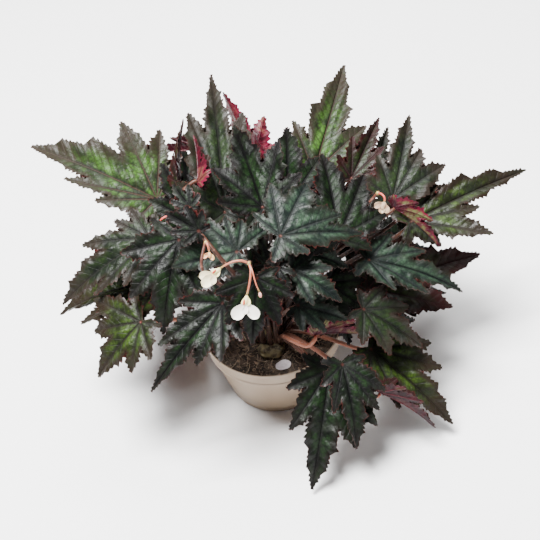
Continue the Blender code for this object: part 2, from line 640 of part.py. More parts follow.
class Arrangement:
    """What already stands in the plant, so that each new blade and stalk is set clear of it."""

    def __init__(self):
        self.solids = []
        self.stalks = []

    def add_solid(self, obj):
        self.solids.append(tree_of(obj))

    def add_stalk(self, route, radii):
        self.stalks.append(BVHTree.FromPolygons(*tube(route, radii, PETIOLE_SIDES), all_triangles=True))

    def blade_clear(self, points, faces):
        if min(point[2] for point in points) < FLOOR_CLEARANCE:
            return False
        if any(in_pot(point) for point in points):
            return False
        tree = BVHTree.FromPolygons([tuple(p) for p in points], faces, all_triangles=True)
        return not any(tree.overlap(other) for other in self.solids + self.stalks)

    def stalk_clear(self, route, radii, own=None):
        if any(point.z < stalk_floor(point) for point in route[1:]):
            return False
        wide = [radius + STALK_CLEARANCE for radius in radii]
        tree = BVHTree.FromPolygons(*tube(route, wide, PETIOLE_SIDES), all_triangles=True)
        if any(tree.overlap(other) for other in self.solids):
            return False
        if own is None:
            return True
        snug = [radius + OWN_CLEARANCE for radius in radii]
        return not BVHTree.FromPolygons(*tube(route, snug, PETIOLE_SIDES), all_triangles=True).overlap(own)


def in_pot(point):
    """Whether a place lies in the pot or close to it."""
    return math.hypot(point[0], point[1]) < POT_RIM_RADIUS + POT_CLEARANCE and point[2] < POT_HEIGHT + POT_CLEARANCE


def stalk_floor(point):
    """Lowest height for a stalk's middle line."""
    reach = math.hypot(point.x, point.y)
    if reach > POT_RIM_RADIUS + RIM_OUTSIDE:
        return FLOOR_CLEARANCE + PETIOLE_RADIUS
    if reach > POT_RIM_RADIUS - RIM_INSIDE:
        return POT_HEIGHT + PETIOLE_RADIUS + STALK_LIFT
    return SOIL_TOP + SOIL_RELIEF + PETIOLE_RADIUS + STALK_LIFT


def nudges():
    """Small moves of a whole blade and of its tip alone, the smallest first."""
    moves = itertools.product(WHOLE_MOVES, TIP_MOVES)
    return sorted(moves, key=lambda move: abs(move[0]) + TIP_MOVE_COST * abs(move[1]))


def crown_start(end):
    """Where a stalk leaves the rhizome, on the side that it leans to."""
    bearing = Vector((end.x - ROOT_CENTRE[0], end.y - ROOT_CENTRE[1], 0.0)).normalized()
    return Vector((ROOT_CENTRE[0], ROOT_CENTRE[1], 0.0)) + UP * CROWN_HEIGHT + bearing * CROWN_RADIUS


def place_leaf(row, arrangement):
    """Sets one leaf clear of what stands already and returns its blade shell and its stalk's route."""
    name, shape, join, tip, face, fold, droop, depth = row
    phase = random.Random(name).uniform(0.0, math.tau)
    blade = Blade(shape, (tip - join).length, fold, droop, phase)
    for whole, tip_only in nudges():
        here = join + depth * whole
        there = tip + depth * (whole + tip_only)
        guard = blade.shell(here, there, face, BLADE_THICKNESS + 2.0 * BLADE_CLEARANCE)
        if not arrangement.blade_clear(*guard):
            continue
        solid = blade.shell(here, there, face, BLADE_THICKNESS)
        own = BVHTree.FromPolygons([tuple(p) for p in solid[0]], solid[1], all_triangles=True)
        end, down, along = blade.underside(here, there, face)
        start = crown_start(end)
        radii = taper(PETIOLE_RADIUS, PETIOLE_TIP_RADIUS, ROUTE_POINTS)
        for route in stalk_routes(start, end, down, along):
            if arrangement.stalk_clear(route, radii, own):
                arrangement.solids.append(own)
                arrangement.add_stalk(route, radii)
                return solid, (route, radii)
    raise ValueError("no clear place for leaf " + name)


def leaf_rows():
    """Every leaf with its places worked out, front leaves first."""
    rows = []
    for name, shape, join, tip, face, fold, droop in FRONT_LEAVES:
        rows.append((name, shape, layout_point(*join), layout_point(*tip), layout_vector(*face), fold, droop, OUT))
    for index, (bearing, height, reach, tip_height, tip_reach) in enumerate(BACK_LEAVES):
        angle = math.radians(bearing)
        away = Vector((math.cos(angle), math.sin(angle), 0.0))
        join = away * reach + UP * height
        tip = away * tip_reach + UP * tip_height
        face = UP + away * BACK_FACE_LEAN
        rows.append(("back_%02d" % (index + 1), "broad_star", join, tip, face, BACK_FOLD, BACK_DROOP, UP))
    return rows


def make_leaves(arrangement):
    """All the blades, one object each, and the routes of their stalks."""
    material = make_material("leaf", (0.035, 0.06, 0.045), 0.5)
    routes = []
    for row in leaf_rows():
        (points, faces), route = place_leaf(row, arrangement)
        link_mesh("leaf_" + row[0], points, faces, material)
        routes.append(route)
    return routes


def make_knob(name, x, y, z, half_x, half_y, half_z, material):
    """A rounded knob of the rhizome, flat below where it lies over the soil."""
    bpy.ops.mesh.primitive_ico_sphere_add(subdivisions=2, radius=1.0)
    knob = bpy.context.active_object
    knob.name = name
    low = SOIL_TOP + GAP
    for vertex in knob.data.vertices:
        height = z + vertex.co.z * half_z
        vertex.co = Vector((x + vertex.co.x * half_x, y + vertex.co.y * half_y, max(low, height))) * MM
    knob.data.materials.clear()
    knob.data.materials.append(material)
    return knob


def flower_frame(points_to):
    """Sideways, lengthwise and outward directions of a flower that points along points_to."""
    length = layout_vector(*points_to).normalized()
    outward = (OUT - length * OUT.dot(length)).normalized()
    return outward.cross(length), length, outward


def petal_shell(centre, along, over, facing, half_length, half_width, cup, thickness):
    """Points and triangles of an oval petal round its centre, cupped towards its facing."""
    points = []
    for side in (0.5, -0.5):
        points.append(centre + facing * (side * thickness))
        for index in range(PETAL_POINTS):
            angle = math.tau * index / PETAL_POINTS
            edge = along * math.cos(angle) * half_length + over * math.sin(angle) * half_width
            points.append(centre + edge + facing * (cup * half_width + side * thickness))
    count = PETAL_POINTS + 1
    faces = []
    for index in range(PETAL_POINTS):
        a = index + 1
        b = (index + 1) % PETAL_POINTS + 1
        faces += [(0, a, b), (count, count + b, count + a)]
        faces += [(a, a + count, b + count), (a, b + count, b)]
    return points, faces


def seed_case(name, centre, frame, half_width, half_length, smooth, material):
    """A rounded seed case or bud."""
    bpy.ops.mesh.primitive_ico_sphere_add(subdivisions=smooth, radius=1.0)
    case = bpy.context.active_object
    case.name = name
    sideways, length, outward = frame
    for vertex in case.data.vertices:
        x, y, z = vertex.co
        place = centre + sideways * (x * half_width) + outward * (y * half_width) + length * (z * half_length)
        vertex.co = place * MM
    case.data.materials.clear()
    case.data.materials.append(material)
    return case


def make_flower(row, arrangement):
    """Adds a flower or bud: a seed case with the petals that stand round its end."""
    name, centre, points_to, half_width, half_length, petals = row
    centre = layout_point(*centre)
    material = make_material(name, (0.85, 0.82, 0.74), 0.5)
    frame = flower_frame(points_to)
    flower = seed_case(name, centre, frame, half_width, half_length, CASE_SMOOTH[bool(petals)], material)
    parts = []
    for number, (bearing, length, width) in enumerate(petals):
        angle = math.radians(bearing)
        along = (ACROSS * math.cos(angle) + RISE * math.sin(angle)).normalized()
        over = OUT.cross(along)
        root = centre + frame[1] * half_length * PETAL_ROOT + OUT * (PETAL_FIRST + PETAL_STEP * number)
        half_long, half_wide = length * PETAL_HALF_LENGTH, width / 2.0
        middle = root + along * (length / 2.0)
        shell = petal_shell(middle, along, over, OUT, half_long, half_wide, PETAL_CUP, PETAL_THICKNESS)
        parts.append(link_mesh("%s_petal_%d" % (name, number), *shell, material))
    if parts:
        fuse(flower, parts)
    arrangement.add_solid(flower)


def make_fallen_petal(soil):
    """Lays a white petal on the soil, cupped so that its middle lies lowest."""
    centre = Vector((*FALLEN_PETAL_PLACE, POT_HEIGHT))
    along = Vector((math.cos(FALLEN_PETAL_BEARING), math.sin(FALLEN_PETAL_BEARING), 0.0))
    points, faces = petal_shell(centre, along, UP.cross(along), UP, *FALLEN_PETAL_SIZE, PETAL_CUP, PETAL_THICKNESS)
    drop = min(soil.ray_cast(point, -UP)[3] for point in points) - GAP
    material = make_material("petal", (0.72, 0.66, 0.68), 0.5)
    link_mesh("fallen_petal", [point - UP * drop for point in points], faces, material)


def flower_foot(name):
    """Where a flower's or bud's branch ends, just behind its seed case."""
    _, centre, points_to, _, half_length, _ = next(row for row in FLOWERS if row[0] == name)
    return layout_point(*centre) - flower_frame(points_to)[1] * (half_length + GAP)


def make_flower_branches(arrangement):
    """Routes of the thin branches that carry the flowers."""
    routes = []
    for start, first, second, flower in FLOWER_BRANCHES:
        curve = [layout_point(*start), layout_point(*first), layout_point(*second), flower_foot(flower)]
        route = bezier(curve, BRANCH_SHARES)
        radii = [BRANCH_RADIUS] * len(route)
        arrangement.add_stalk(route, radii)
        routes.append((route, radii))
    return routes


def make_flower_stalks(arrangement):
    """Routes of the flower stalks, between the leaves."""
    routes = []
    for place, arrive in FLOWER_STALKS:
        end = layout_point(*place)
        radii = taper(PETIOLE_RADIUS, FLOWER_STALK_RADIUS, ROUTE_POINTS)
        choices = stalk_routes(crown_start(end), end, layout_vector(*arrive).normalized(), ACROSS)
        route = next((r for r in choices if arrangement.stalk_clear(r, radii)), None)
        if route is None:
            raise ValueError("no clear way for the flower stalk to %r" % (place,))
        routes.append((route, radii))
    return routes


def make_stems(routes):
    """Fuses the rhizome, its root and every stalk into one body."""
    material = make_material("stem", (0.42, 0.17, 0.12), 0.55)
    root_low = SOIL_TOP - ROOT_DEPTH + GAP
    root = upright_cylinder("stems", ROOT_RADIUS - GAP, root_low, SOIL_TOP + ROOT_NECK, ROOT_CENTRE, ROOT_SIDES)
    root.data.materials.append(material)
    parts = [make_knob("knob_%d" % i, *knob, material) for i, knob in enumerate(RHIZOME_KNOBS)]
    for index, (route, radii) in enumerate(routes):
        parts.append(link_mesh("stalk_%02d" % index, *tube(route, radii, PETIOLE_SIDES), material))
    fuse(root, parts)


def main():
    clear_scene()
    arrangement = Arrangement()
    arrangement.add_solid(make_pot())
    make_fallen_petal(tree_of(make_soil()))
    for row in FLOWERS:
        make_flower(row, arrangement)
    routes = make_flower_branches(arrangement)
    routes += make_leaves(arrangement)
    routes += make_flower_stalks(arrangement)
    make_stems(routes)


main()
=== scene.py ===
"""The looks of the potted begonia: veined and serrated leaves, fuzzy stalks, flowers, soil and pot.

Sizes are in millimetres until a mesh is made, and colours in thousandths. Each leaf is placed as in the CAD
model, by across (to the right), rise (up the picture) and out (towards the eye) from the middle of the rim.
"""

import itertools
import math
import random

import bpy
import numpy as np
from mathutils import Matrix, Vector, noise
from mathutils.geometry import delaunay_2d_cdt
from mathutils.kdtree import KDTree

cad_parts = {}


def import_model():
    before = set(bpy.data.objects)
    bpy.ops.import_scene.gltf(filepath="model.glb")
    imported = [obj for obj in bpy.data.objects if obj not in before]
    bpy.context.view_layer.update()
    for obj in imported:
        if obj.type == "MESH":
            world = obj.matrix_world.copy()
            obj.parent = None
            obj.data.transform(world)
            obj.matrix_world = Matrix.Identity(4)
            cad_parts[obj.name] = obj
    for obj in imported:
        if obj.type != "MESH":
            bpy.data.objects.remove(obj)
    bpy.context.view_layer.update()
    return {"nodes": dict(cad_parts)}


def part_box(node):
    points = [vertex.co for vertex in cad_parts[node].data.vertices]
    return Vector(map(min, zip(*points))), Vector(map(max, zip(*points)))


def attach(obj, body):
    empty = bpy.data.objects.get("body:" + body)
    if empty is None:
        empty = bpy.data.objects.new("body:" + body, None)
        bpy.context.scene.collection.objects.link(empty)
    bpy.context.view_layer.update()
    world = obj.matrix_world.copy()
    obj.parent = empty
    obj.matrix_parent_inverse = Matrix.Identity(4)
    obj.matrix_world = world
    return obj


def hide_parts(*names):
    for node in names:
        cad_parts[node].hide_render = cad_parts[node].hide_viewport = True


MM = 0.001
GAP = 0.35
UP = Vector((0.0, 0.0, 1.0))
FULL_COLOUR = 1000.0

# The pot
POT_HEIGHT = 64.0
POT_RIM_RADIUS = 60.0
POT_BASE_RADIUS = 44.0
POT_WALL = 1.3
POT_FLOOR = 1.6
POT_SIDES = 144
POT_SHARP = 35.0
BAND_BOTTOM = 50.0
BAND_STEP = 2.2
BAND_TAPER = 1.3
DRAIN_HOLES = 6
DRAIN_RADIUS = 2.4
DRAIN_RING = 30.0
DRAIN_SIDES = 20
FLOOR_DISC = 36.0

# Sections of the pot, as insets from a radius. Those of a wall start with the height at which its radius is
# taken and end with the point's height. The lip's heights are below the rim, the foot's above its bottom.
INNER_WALL = ((0.0, 2.8, POT_FLOOR), (2.0, 1.3, 2.6), (20.0, 1.3, 20.0), (BAND_BOTTOM, 1.3, BAND_BOTTOM))
LIP = ((2.6, 13.0), (1.5, 0.9), (0.975, 0.2), (0.52, 0.0), (0.1, 0.35), (0.0, 0.9), (0.0, 2.1), (0.3, 2.5),
       (0.9, 2.9), (1.0, 3.6))
BAND_FOOT = ((0.6, 2.4), (0.2, 1.7), (0.0, 1.1), (0.1, 0.4), (0.5, 0.0))
OUTER_WALL = ((50.0, -0.3, 49.9), (50.0, 0.1, 49.4), (48.0, 0.0, 48.0), (34.0, 0.0, 34.0), (18.0, 0.0, 18.0),
              (7.0, 0.0, 7.0), (6.4, 0.5, 6.4), (1.6, 0.3, 1.6), (0.5, 0.6, 0.4), (0.0, 1.6, 0.0))

# The soil. Its waves are (turns along x, turns along y, start, share) and its clods (height, fineness).
# Two places are kept clear of crumbs, the rhizome's and the fallen petal's.
SOIL_TOP = 56.0
SOIL_RADIUS = POT_RIM_RADIUS - BAND_TAPER - POT_WALL + 0.6 - GAP
SOIL_SIDES = 180
SOIL_RINGS = 62
SOIL_RELIEF = 1.4
SOIL_WAVES = ((0.19, 0.23, 0.2, 0.5), (0.19, -0.23, 1.0, 0.5), (0.41, -0.37, 0.0, 0.4))
SOIL_CLODS = ((0.9, 0.22), (0.7, 0.55), (0.45, 1.3))
CALM_SOIL = (24.0, 14.0)
CRUMBS = 1500
CRUMB_ROOM = 1.5
CRUMB_SIZES = (0.4, 1.3)
CHIPS = 170
CHIP_ROOM = 4.0
CHIP_SIZES = ((1.6, 4.2), (0.8, 2.0), (0.3, 0.7))
FIBRES = 230
FIBRE_ROOM = 9.0
FIBRE_STEPS = 7
FIBRE_CURL = 0.25
FIBRE_LENGTHS = (6.0, 18.0)
FIBRE_RADII = (0.14, 0.34)
KEPT_CLEAR = (((-2.0, -15.0), 12.0), ((5.0, -43.0), 8.5))

# The rhizome's root ball, with rings as (height above its foot, share of its radius), and the knobs on
# top, as (x, y, z, half length along x, along y, along z)
ROOT_CENTRE = Vector((-2.0, -16.0, 0.0))
ROOT_RADIUS = 12.0
ROOT_DEPTH = 20.0
ROOT_BALL = ((0.0, 0.8), (7.0, 0.95), (14.0, 0.97), (24.65, 0.9))
ROOT_SIDES = 28
RHIZOME_KNOBS = (
    (-4.0, -26.0, 61.0, 12.0, 10.0, 7.0),
    (-1.0, -14.0, 63.0, 13.0, 12.0, 9.0),
    (6.0, -5.0, 63.0, 11.0, 11.0, 8.0),
    (-9.0, -7.0, 62.0, 9.0, 10.0, 8.0),
)
KNOB_ROUGHNESS = 0.13

# Roughness of a lump, as (share, fineness), and how much it shrinks for that
LUMP_SWELLS = ((1.0, 2.2), (0.5, 6.0), (0.25, 14.0))
LUMP_SHRINK = 0.4

# Three directions of the layout, and the middle of the rim that it is measured from
LAYOUT_TILT = math.radians(42.0)
LAYOUT_ROLL = math.radians(8.0)
LEVEL = Vector((1.0, 0.0, 0.0))
STEEP = Vector((0.0, math.sin(LAYOUT_TILT), math.cos(LAYOUT_TILT)))
ACROSS = LEVEL * math.cos(LAYOUT_ROLL) - STEEP * math.sin(LAYOUT_ROLL)
RISE = LEVEL * math.sin(LAYOUT_ROLL) + STEEP * math.cos(LAYOUT_ROLL)
OUT = Vector((0.0, -math.cos(LAYOUT_TILT), math.sin(LAYOUT_TILT)))
RIM_CENTRE = Vector((0.0, 0.0, POT_HEIGHT))

# Leaf blades, in lengths of the main lobe
SINUS_DEPTH = 0.64
SINUS_RISE = 0.22
OPEN_ANGLE = math.radians(38.0)
NOTCH_RADIUS = 0.09
NOTCH_BOTTOM = 0.036
LOBE_BULGE = 0.095
PLAIN_FLANK = (0.4, 0.1)
TOOTH_HEIGHT = 0.055
TOOTH_STEP = 0.08
TOOTH_CUT = 0.005
VEIN_END = 0.94
VEIN_SLOPE = 0.22
RUFFLE_HEIGHT = 0.045
RUFFLE_WAVES = 5
FOLD_SHIFT = 0.3

# Leaf blades, in millimetres
CAD_THICKNESS = 0.8
LONG_FLANK = 34.0
SHORT_FLANK = 16.0
BLADE_HALF = 0.3
RIM_HALF = 0.12
BLADE_SHARP = 50.0
LEAF_GRID = 1.5
FILL_ROW = 0.87
FILL_SHAKE = 0.15
FILL_ROOM = 0.5
FILL_GAP = 0.55
SERRATION_PITCH = 3.8
SERRATION_HEIGHT = 1.5
SERRATION_PEAKS = (0.68, 0.8)
SERRATION_SIZES = (0.4, 1.8)
BLUNT_TIP = (0.955, 0.017)
SIDE_VEIN_PITCH = 7.5
SIDE_VEIN_FORWARD = 0.75
SIDE_VEIN_CURVE = 0.012
FULL_PITCH_SIZE = 90.0
FULL_RELIEF_SIZE = 70.0
QUILT_HEIGHT = 0.45
WAVE_HEIGHT = 2.3
WAVE_LENGTHS = (12.0, 20.0, 34.0)
CURL_HEIGHT = 3.0

# Where quilting, waves and curls fade in, from the veins, from the bounds between lobes and from the join
VEIN_FADE = (0.3, 3.0)
BOUND_FADE = (0.2, 3.0)
JOIN_FADE = (2.0, 12.0)
WAVE_FADE = (1.0, 9.0)
CURL_FADE = (0.5, 6.0)

# Stalks
PETIOLE_RADIUS = 2.1
PETIOLE_TIP_RADIUS = 1.6
FLOWER_STALK_RADIUS = 1.4
BRANCH_RADIUS = 1.0
PEDICEL_FINENESS = 0.75
SMALL_BUD_FINENESS = 0.5
FORK_RADIUS = 1.7
LOW_JOIN = 12.0
# How far along the stalk colours a stalk deep inside gets, so that it stays dark brown as painted shade
PAINTED_SHADE_STALK = 0.34
STALK_END_RADIUS = 1.0
STALK_END_DEPTH = 0.24
STALK_SIDES = 10
STALK_STEP = 3.0
STALK_WOBBLE = 0.03
ROUTE_SHARES = (0.0, 0.25, 0.52, 0.79, 1.0)
ROUTE_POINTS = len(ROUTE_SHARES) + 1
STRAIGHT_END = 2.5
ROUTE_LEANS = (-0.4, 0.0, -0.9, -1.5, 0.25)
ROUTE_SWINGS = (0.0, 0.22, -0.22, 0.42, -0.42)
ROUTE_RISES = (0.45, 0.7, 0.25)
ROUTE_HOLDS = (0.3, 0.16)
HELD_SWING = 0.6
END_PULLS = {1: 1.0, 2: 0.35}
BRANCH_SHARES = (0.0, 0.3, 0.6, 0.8, 1.0)
STEM_LOOKS = ("stalk", "pedicel", "rhizome", "coral")
STALK, PEDICEL, RHIZOME, CORAL = range(len(STEM_LOOKS))
CROWN_HEIGHT = 63.0
CROWN_RADIUS = 9.0
HAIRS_PER_MM = 1.6
HAIR_LENGTH = 1.3
HAIR_WIDTH = 0.16
HAIR_LEANS = (-0.2, 0.6)
HAIR_SIZES = (0.6, 1.2)
HAIR_ROOT = 0.93

# Moves that may have set a blade clear of the others, as steps for the whole blade and for its tip
WHOLE_MOVES = range(-32, 36, 4)
TIP_MOVES = range(-24, 32, 8)

# Lobes of each leaf shape, as (angle from the main lobe in degrees, length beside the main lobe's)
LOBES = {
    "star": ((-122, 0.3), (-70, 0.5), (-32, 0.7), (0, 1), (34, 0.64), (74, 0.46), (128, 0.28)),
    "broad_star": ((-115, 0.36), (-66, 0.6), (-30, 0.76), (0, 1), (33, 0.72), (70, 0.55), (120, 0.34)),
    "narrow": ((-120, 0.22), (-52, 0.4), (-22, 0.62), (0, 1), (24, 0.56), (60, 0.36), (125, 0.2)),
    "far_left": ((-125, 0.22), (-90, 0.36), (-66, 0.5), (-40, 0.6), (0, 1), (15, 0.64),
                 (30, 0.42), (75, 0.27)),
    "left_mid": ((-130, 0.24), (-85, 0.32), (-57, 0.36), (-28, 0.6), (0, 1), (17, 0.66),
                 (38, 0.46), (95, 0.3)),
    "left_low": ((-115, 0.45), (-70, 0.86), (-39, 0.76), (0, 1), (35, 0.68), (68, 0.54), (125, 0.3)),
    "front_long": ((-120, 0.22), (-50, 0.38), (-17, 0.66), (0, 1), (20, 0.58), (45, 0.52), (72, 0.4)),
    "tall": ((-125, 0.2), (-60, 0.36), (-15, 0.67), (0, 1), (14, 0.71), (60, 0.34), (125, 0.2)),
    "top_green": ((-125, 0.22), (-75, 0.34), (-30, 0.6), (0, 1), (37, 0.46), (75, 0.26), (125, 0.2)),
    "right_top": ((-110, 0.3), (-42, 0.68), (-17, 0.64), (0, 1), (30, 0.5), (70, 0.42), (125, 0.25)),
    "right_far": ((-130, 0.2), (-72, 0.3), (-40, 0.6), (-15, 0.52), (0, 1), (30, 0.36),
                  (75, 0.28), (125, 0.2)),
    "hanging": ((-110, 0.26), (-60, 0.38), (-27, 0.58), (0, 1), (27, 0.66), (48, 0.58), (100, 0.3)),
    "half_star": ((-115, 0.3), (-40, 0.36), (0, 1), (15, 0.72), (58, 0.74), (92, 0.62), (130, 0.4)),
    "left_star": ((-148, 0.74), (-108, 0.52), (-80, 0.54), (-54, 0.88), (0, 1), (45, 0.5), (110, 0.34)),
}

# Leaves seen from the front. Each has its shape, the place where its stalk joins it, the tip of its main
# lobe and the way its top faces, all as (across, rise, out), then fold and droop in degrees, and its
# colouring.
FRONT_LEAVES = (
    ("centre_star", "half_star", (6, 74, 115), (72, 77, 90), (0.1, 0.3, 1), 6, 45, "teal"),
    ("left_star", "left_star", (-28, 62, 100), (-80, 50, 90), (-0.3, 0.2, 1), 8, 40, "teal"),
    ("front_left_long", "front_long", (-39, 22, 100), (-96, -48, 92), (-0.3, 0.2, 1), 14, 35, "dark"),
    ("front_right_small", "star", (16, 48, 104), (54, 23, 104), (0.2, 0.3, 1), 10, 40, "teal"),
    ("front_small_down", "broad_star", (4, 50, 116), (3, 23, 117), (0, 0.3, 1), 16, 30, "dark"),
    ("dark_low_centre", "broad_star", (-12, 42, 100), (-16, -10, 84), (0, 0.2, 1), 12, 38, "deep"),
    ("front_right_teal", "star", (20, 20, 92), (60, 8, 82), (0.1, 0.3, 1), 12, 36, "teal"),
    ("front_small_up", "star", (-2, 52, 94), (-12, 78, 92), (0, 0.3, 1), 16, 34, "dark"),
    ("centre_top", "tall", (-39, 95, 62), (-53, 217, 8), (0.1, 0.3, 1), 16, 22, "bronze"),
    ("far_left", "far_left", (-98, 108, 25), (-209, 155, 5), (-0.1, 0.4, 1), 8, 24, "bright"),
    ("right_far", "right_far", (118, 89, 25), (220, 135, 5), (0.1, 0.5, 1), 10, 24, "green"),
    ("top_green", "top_green", (36, 132, 0), (65, 233, -35), (0.1, 0.2, 1), 12, 18, "bright"),
    ("left_mid", "left_mid", (-101, 74, 52), (-177, 19, 30), (-0.3, 0.4, 1), 8, 36, "bronze"),
    ("left_low", "left_low", (-106, 6, 72), (-143, -40, 56), (-0.3, 0.4, 1), 8, 36, "green"),
    ("bottom_hanging", "hanging", (46, -34, 62), (32, -131, 63), (0.1, 0.1, 1), 10, 30, "dark"),
    ("right_low_big", "hanging", (82, -18, 48), (151, -81, 42), (0.3, 0.3, 1), 10, 32, "green"),
    ("right_top", "right_top", (102, 108, 22), (120, 184, -8), (0.1, 0.3, 1), 10, 24, "bronze"),
    ("right_mid", "narrow", (78, 56, 68), (158, 30, 45), (0.2, 0.6, 1), 14, 40, "teal"),
    ("right_mid_back", "star", (82, 31, 15), (182, 62, 0), (0.1, 0.4, 1), 10, 26, "maroon"),
    ("left_inner_dark", "broad_star", (-75, 72, 82), (-88, -4, 74), (-0.2, 0.2, 1), 12, 36, "dark"),
    ("centre_up", "star", (-8, 98, 80), (-32, 168, 46), (0, 0.3, 1), 20, 24, "deep"),
    ("centre_right_up", "star", (12, 100, 60), (12, 170, 26), (0.1, 0.3, 1), 14, 30, "deep"),
    ("top_red", "star", (-17, 143, 20), (-43, 203, 0), (0.1, 0.3, -1), 40, 24, "dark"),
    ("centre_star_low", "star", (13, 64, 92), (62, 50, 80), (0.1, 0.4, 1), 12, 36, "teal"),
    ("bottom_right", "hanging", (56, -28, 76), (68, -95, 76), (0.3, 0.2, 1), 12, 34, "dark"),
    ("red_fold_right", "narrow", (34, -4, 88), (87, -6, 76), (0, 1, 0.1), 62, 16, "maroon"),
    ("red_fold_upper", "narrow", (99, 99, 58), (139, 67, 46), (0.5, 1, 0.1), 60, 20, "maroon"),
    ("red_strip", "narrow", (-60, 118, 84), (-64, 157, 72), (1, 0.1, 0.1), 56, 16, "maroon"),
    ("dark_low_right", "broad_star", (44, 38, 78), (64, -14, 64), (0.2, 0.2, 1), 12, 38, "deep"),
    ("centre_right_dark", "broad_star", (53, 74, 76), (41, 145, 42), (0.2, 0.3, 1), 12, 34, "deep"),
    ("left_inner_up", "broad_star", (-62, 87, 70), (-94, 138, 40), (-0.2, 0.3, 1), 12, 34, "deep"),
    ("right_low_inner", "star", (74, 16, 50), (124, -16, 36), (0.3, 0.3, 1), 12, 34, "bronze"),
    ("upper_left_small", "star", (-65, 97, 88), (-80, 116, 78), (-0.2, 0.4, 1), 12, 34, "dark"),
    ("upper_left_edge", "narrow", (-75, 119, 48), (-74, 174, 20), (-1, 0.2, 0.3), 24, 20, "maroon"),
    ("maroon_upper_left", "narrow", (-57, 149, 30), (-111, 147, 12), (0, 1, -0.2), 52, 22, "maroon"),
    ("left_small_dark", "star", (-57, 78, 92), (-84, 93, 82), (-0.3, 0.3, 1), 12, 34, "deep"),
    ("centre_maroon", "star", (-9, 133, 52), (-14, 160, 40), (0, 0.1, -1), 34, 26, "maroon"),
    ("top_right_dark", "narrow", (68, 127, 10), (94, 182, -10), (0.1, 0.3, 1), 18, 24, "maroon"),
    ("right_top_narrow", "narrow", (87, 133, -5), (103, 175, -20), (0.2, 0.3, 1), 18, 22, "bronze"),
    ("right_up_small", "star", (112, 95, 0), (155, 124, -16), (0.2, 0.4, 1), 12, 26, "bronze"),
    ("right_small", "star", (84, 1, 40), (120, 6, 28), (0.3, 0.4, 1), 12, 32, "dark"),
    ("right_low_curl", "narrow", (87, -52, 55), (134, -82, 46), (0.2, 1, 0.2), 55, 20, "maroon"),
)

# Leaves of the back half, as (bearing from the right in degrees, height and reach of the join, and of the
# tip)
BACK_LEAVES = (
    (20, 74, 88, 38, 176, "green"),
    (34, 118, 92, 90, 190, "dark"),
    (58, 98, 84, 58, 182, "bronze"),
    (82, 126, 96, 98, 196, "green"),
    (106, 96, 84, 54, 184, "dark"),
    (130, 124, 94, 96, 192, "bright"),
    (152, 98, 84, 60, 180, "bronze"),
    (172, 122, 90, 92, 184, "green"),
)
BACK_FACE_LEAN = 0.3
BACK_FOLD = 10
BACK_DROOP = 34

# Small young leaves deep inside, as their name, the place where the stalk joins, the tip and the way the
# top faces
YOUNG_LEAVES = (
    ("young_front", (-16, 38, 72), (-15, 73, 62), (0, 0.3, 1)),
    ("young_left", (-72, 114, 0), (-79, 158, -15), (-0.2, 0.3, 1)),
    ("young_right", (84, 90, 8), (82, 122, -4), (0.2, 0.3, 1)),
)
YOUNG_FOLD = 14
YOUNG_DROOP = 30
YOUNG_STALK_RADIUS = 1.0

# Colourings of a leaf's top: its dark ground, the patches between its veins, its margin and tips, its
# veins near the stalk, how strong the patches are, how far along a lobe they reach, its roughness and its
# gloss
COLOURINGS = {
    "deep": ((2, 2, 2), (8, 20, 6), (4, 3, 3), (2, 2, 2), 0.9, 1.0, 0.34, 0.07),
    "dark": ((2, 2, 2), (9, 22, 7), (5, 4, 3), (2, 2, 2), 0.9, 1.0, 0.34, 0.13),
    # The teal top's grey-blue patches are partly the leaf's own green and partly painted silvery sheen
    "teal": ((3, 5, 5), (27, 50, 29), (8, 9, 6), (5, 7, 5), 1.0, 1.2, 0.34, 0.13),
    "bronze": ((4, 5, 4), (15, 28, 8), (16, 11, 8), (9, 9, 6), 0.9, 0.9, 0.36, 0.12),
    "green": ((5, 5, 3), (32, 58, 9), (14, 9, 6), (8, 6, 4), 1.0, 0.8, 0.32, 0.12),
    "bright": ((8, 9, 6), (42, 100, 16), (22, 17, 12), (36, 18, 12), 1.0, 0.8, 0.34, 0.12),
    "maroon": ((6, 3, 3), (14, 26, 5), (18, 4, 4), (14, 4, 4), 0.9, 0.8, 0.32, 0.12),
}
JOINT_PINK = (60, 15, 11)
# A grey-green laid over leaf tops in soft blotches: painted sheen
PAINTED_SHEEN_GREEN = (16, 22, 13)
MARGIN_RED = (36, 6, 5)

# Colourings of a leaf's underside: its dark ground, its bright ground, the patches near its veins, and
# its veins
UNDERSIDES = {
    "crimson": ((20, 2, 4), (100, 4, 18), (85, 40, 22), (45, 4, 10)),
    "patched": ((22, 2, 5), (100, 4, 19), (85, 120, 38), (40, 4, 10)),
    "maroon": ((10, 2, 3), (50, 3, 10), (30, 30, 10), (75, 12, 18)),
}
UNDER_LOOKS = {
    "leaf_top_red_blade": "crimson",
    "leaf_red_strip_blade": "crimson",
    "leaf_centre_maroon_blade": "crimson",
    "leaf_red_fold_right_blade": "patched",
    "leaf_red_fold_upper_blade": "patched",
}

# Flower stalks, as the place where each one ends or forks and the way it comes in, and its thinner
# branches, each as three points of its curve and the flower at its end
FORK = (-18, 53, 128)
FLOWER_STALKS = (
    (FORK, (0.2, 0.3, -1)),
    ((85, 110, 72), (-0.3, -0.2, -1)),
    ((-51, 69, 120), (-0.4, -0.8, -0.1)),
    ((-84, 92, 62), (0.3, -0.3, -1)),
)
FLOWER_BRANCHES = (
    (FORK, (-24, 57, 130), (-31, 55, 130), "flower_left"),
    (FORK, (-15, 50, 131), (-17, 38, 133), "flower_right"),
    (FORK, (-15, 50, 132), (-14, 38, 134), "bud_front"),
    ((85, 110, 72), (88, 110, 75), (91, 107, 77), "bud_right"),
    ((-51, 69, 120), (-50, 69, 122), (-49, 66, 123), "bud_left"),
    ((-84, 92, 62), (-87, 92, 63), (-91, 90, 63), "bud_red"),
)
CORAL_BRANCHES = ("bud_right", "bud_red")

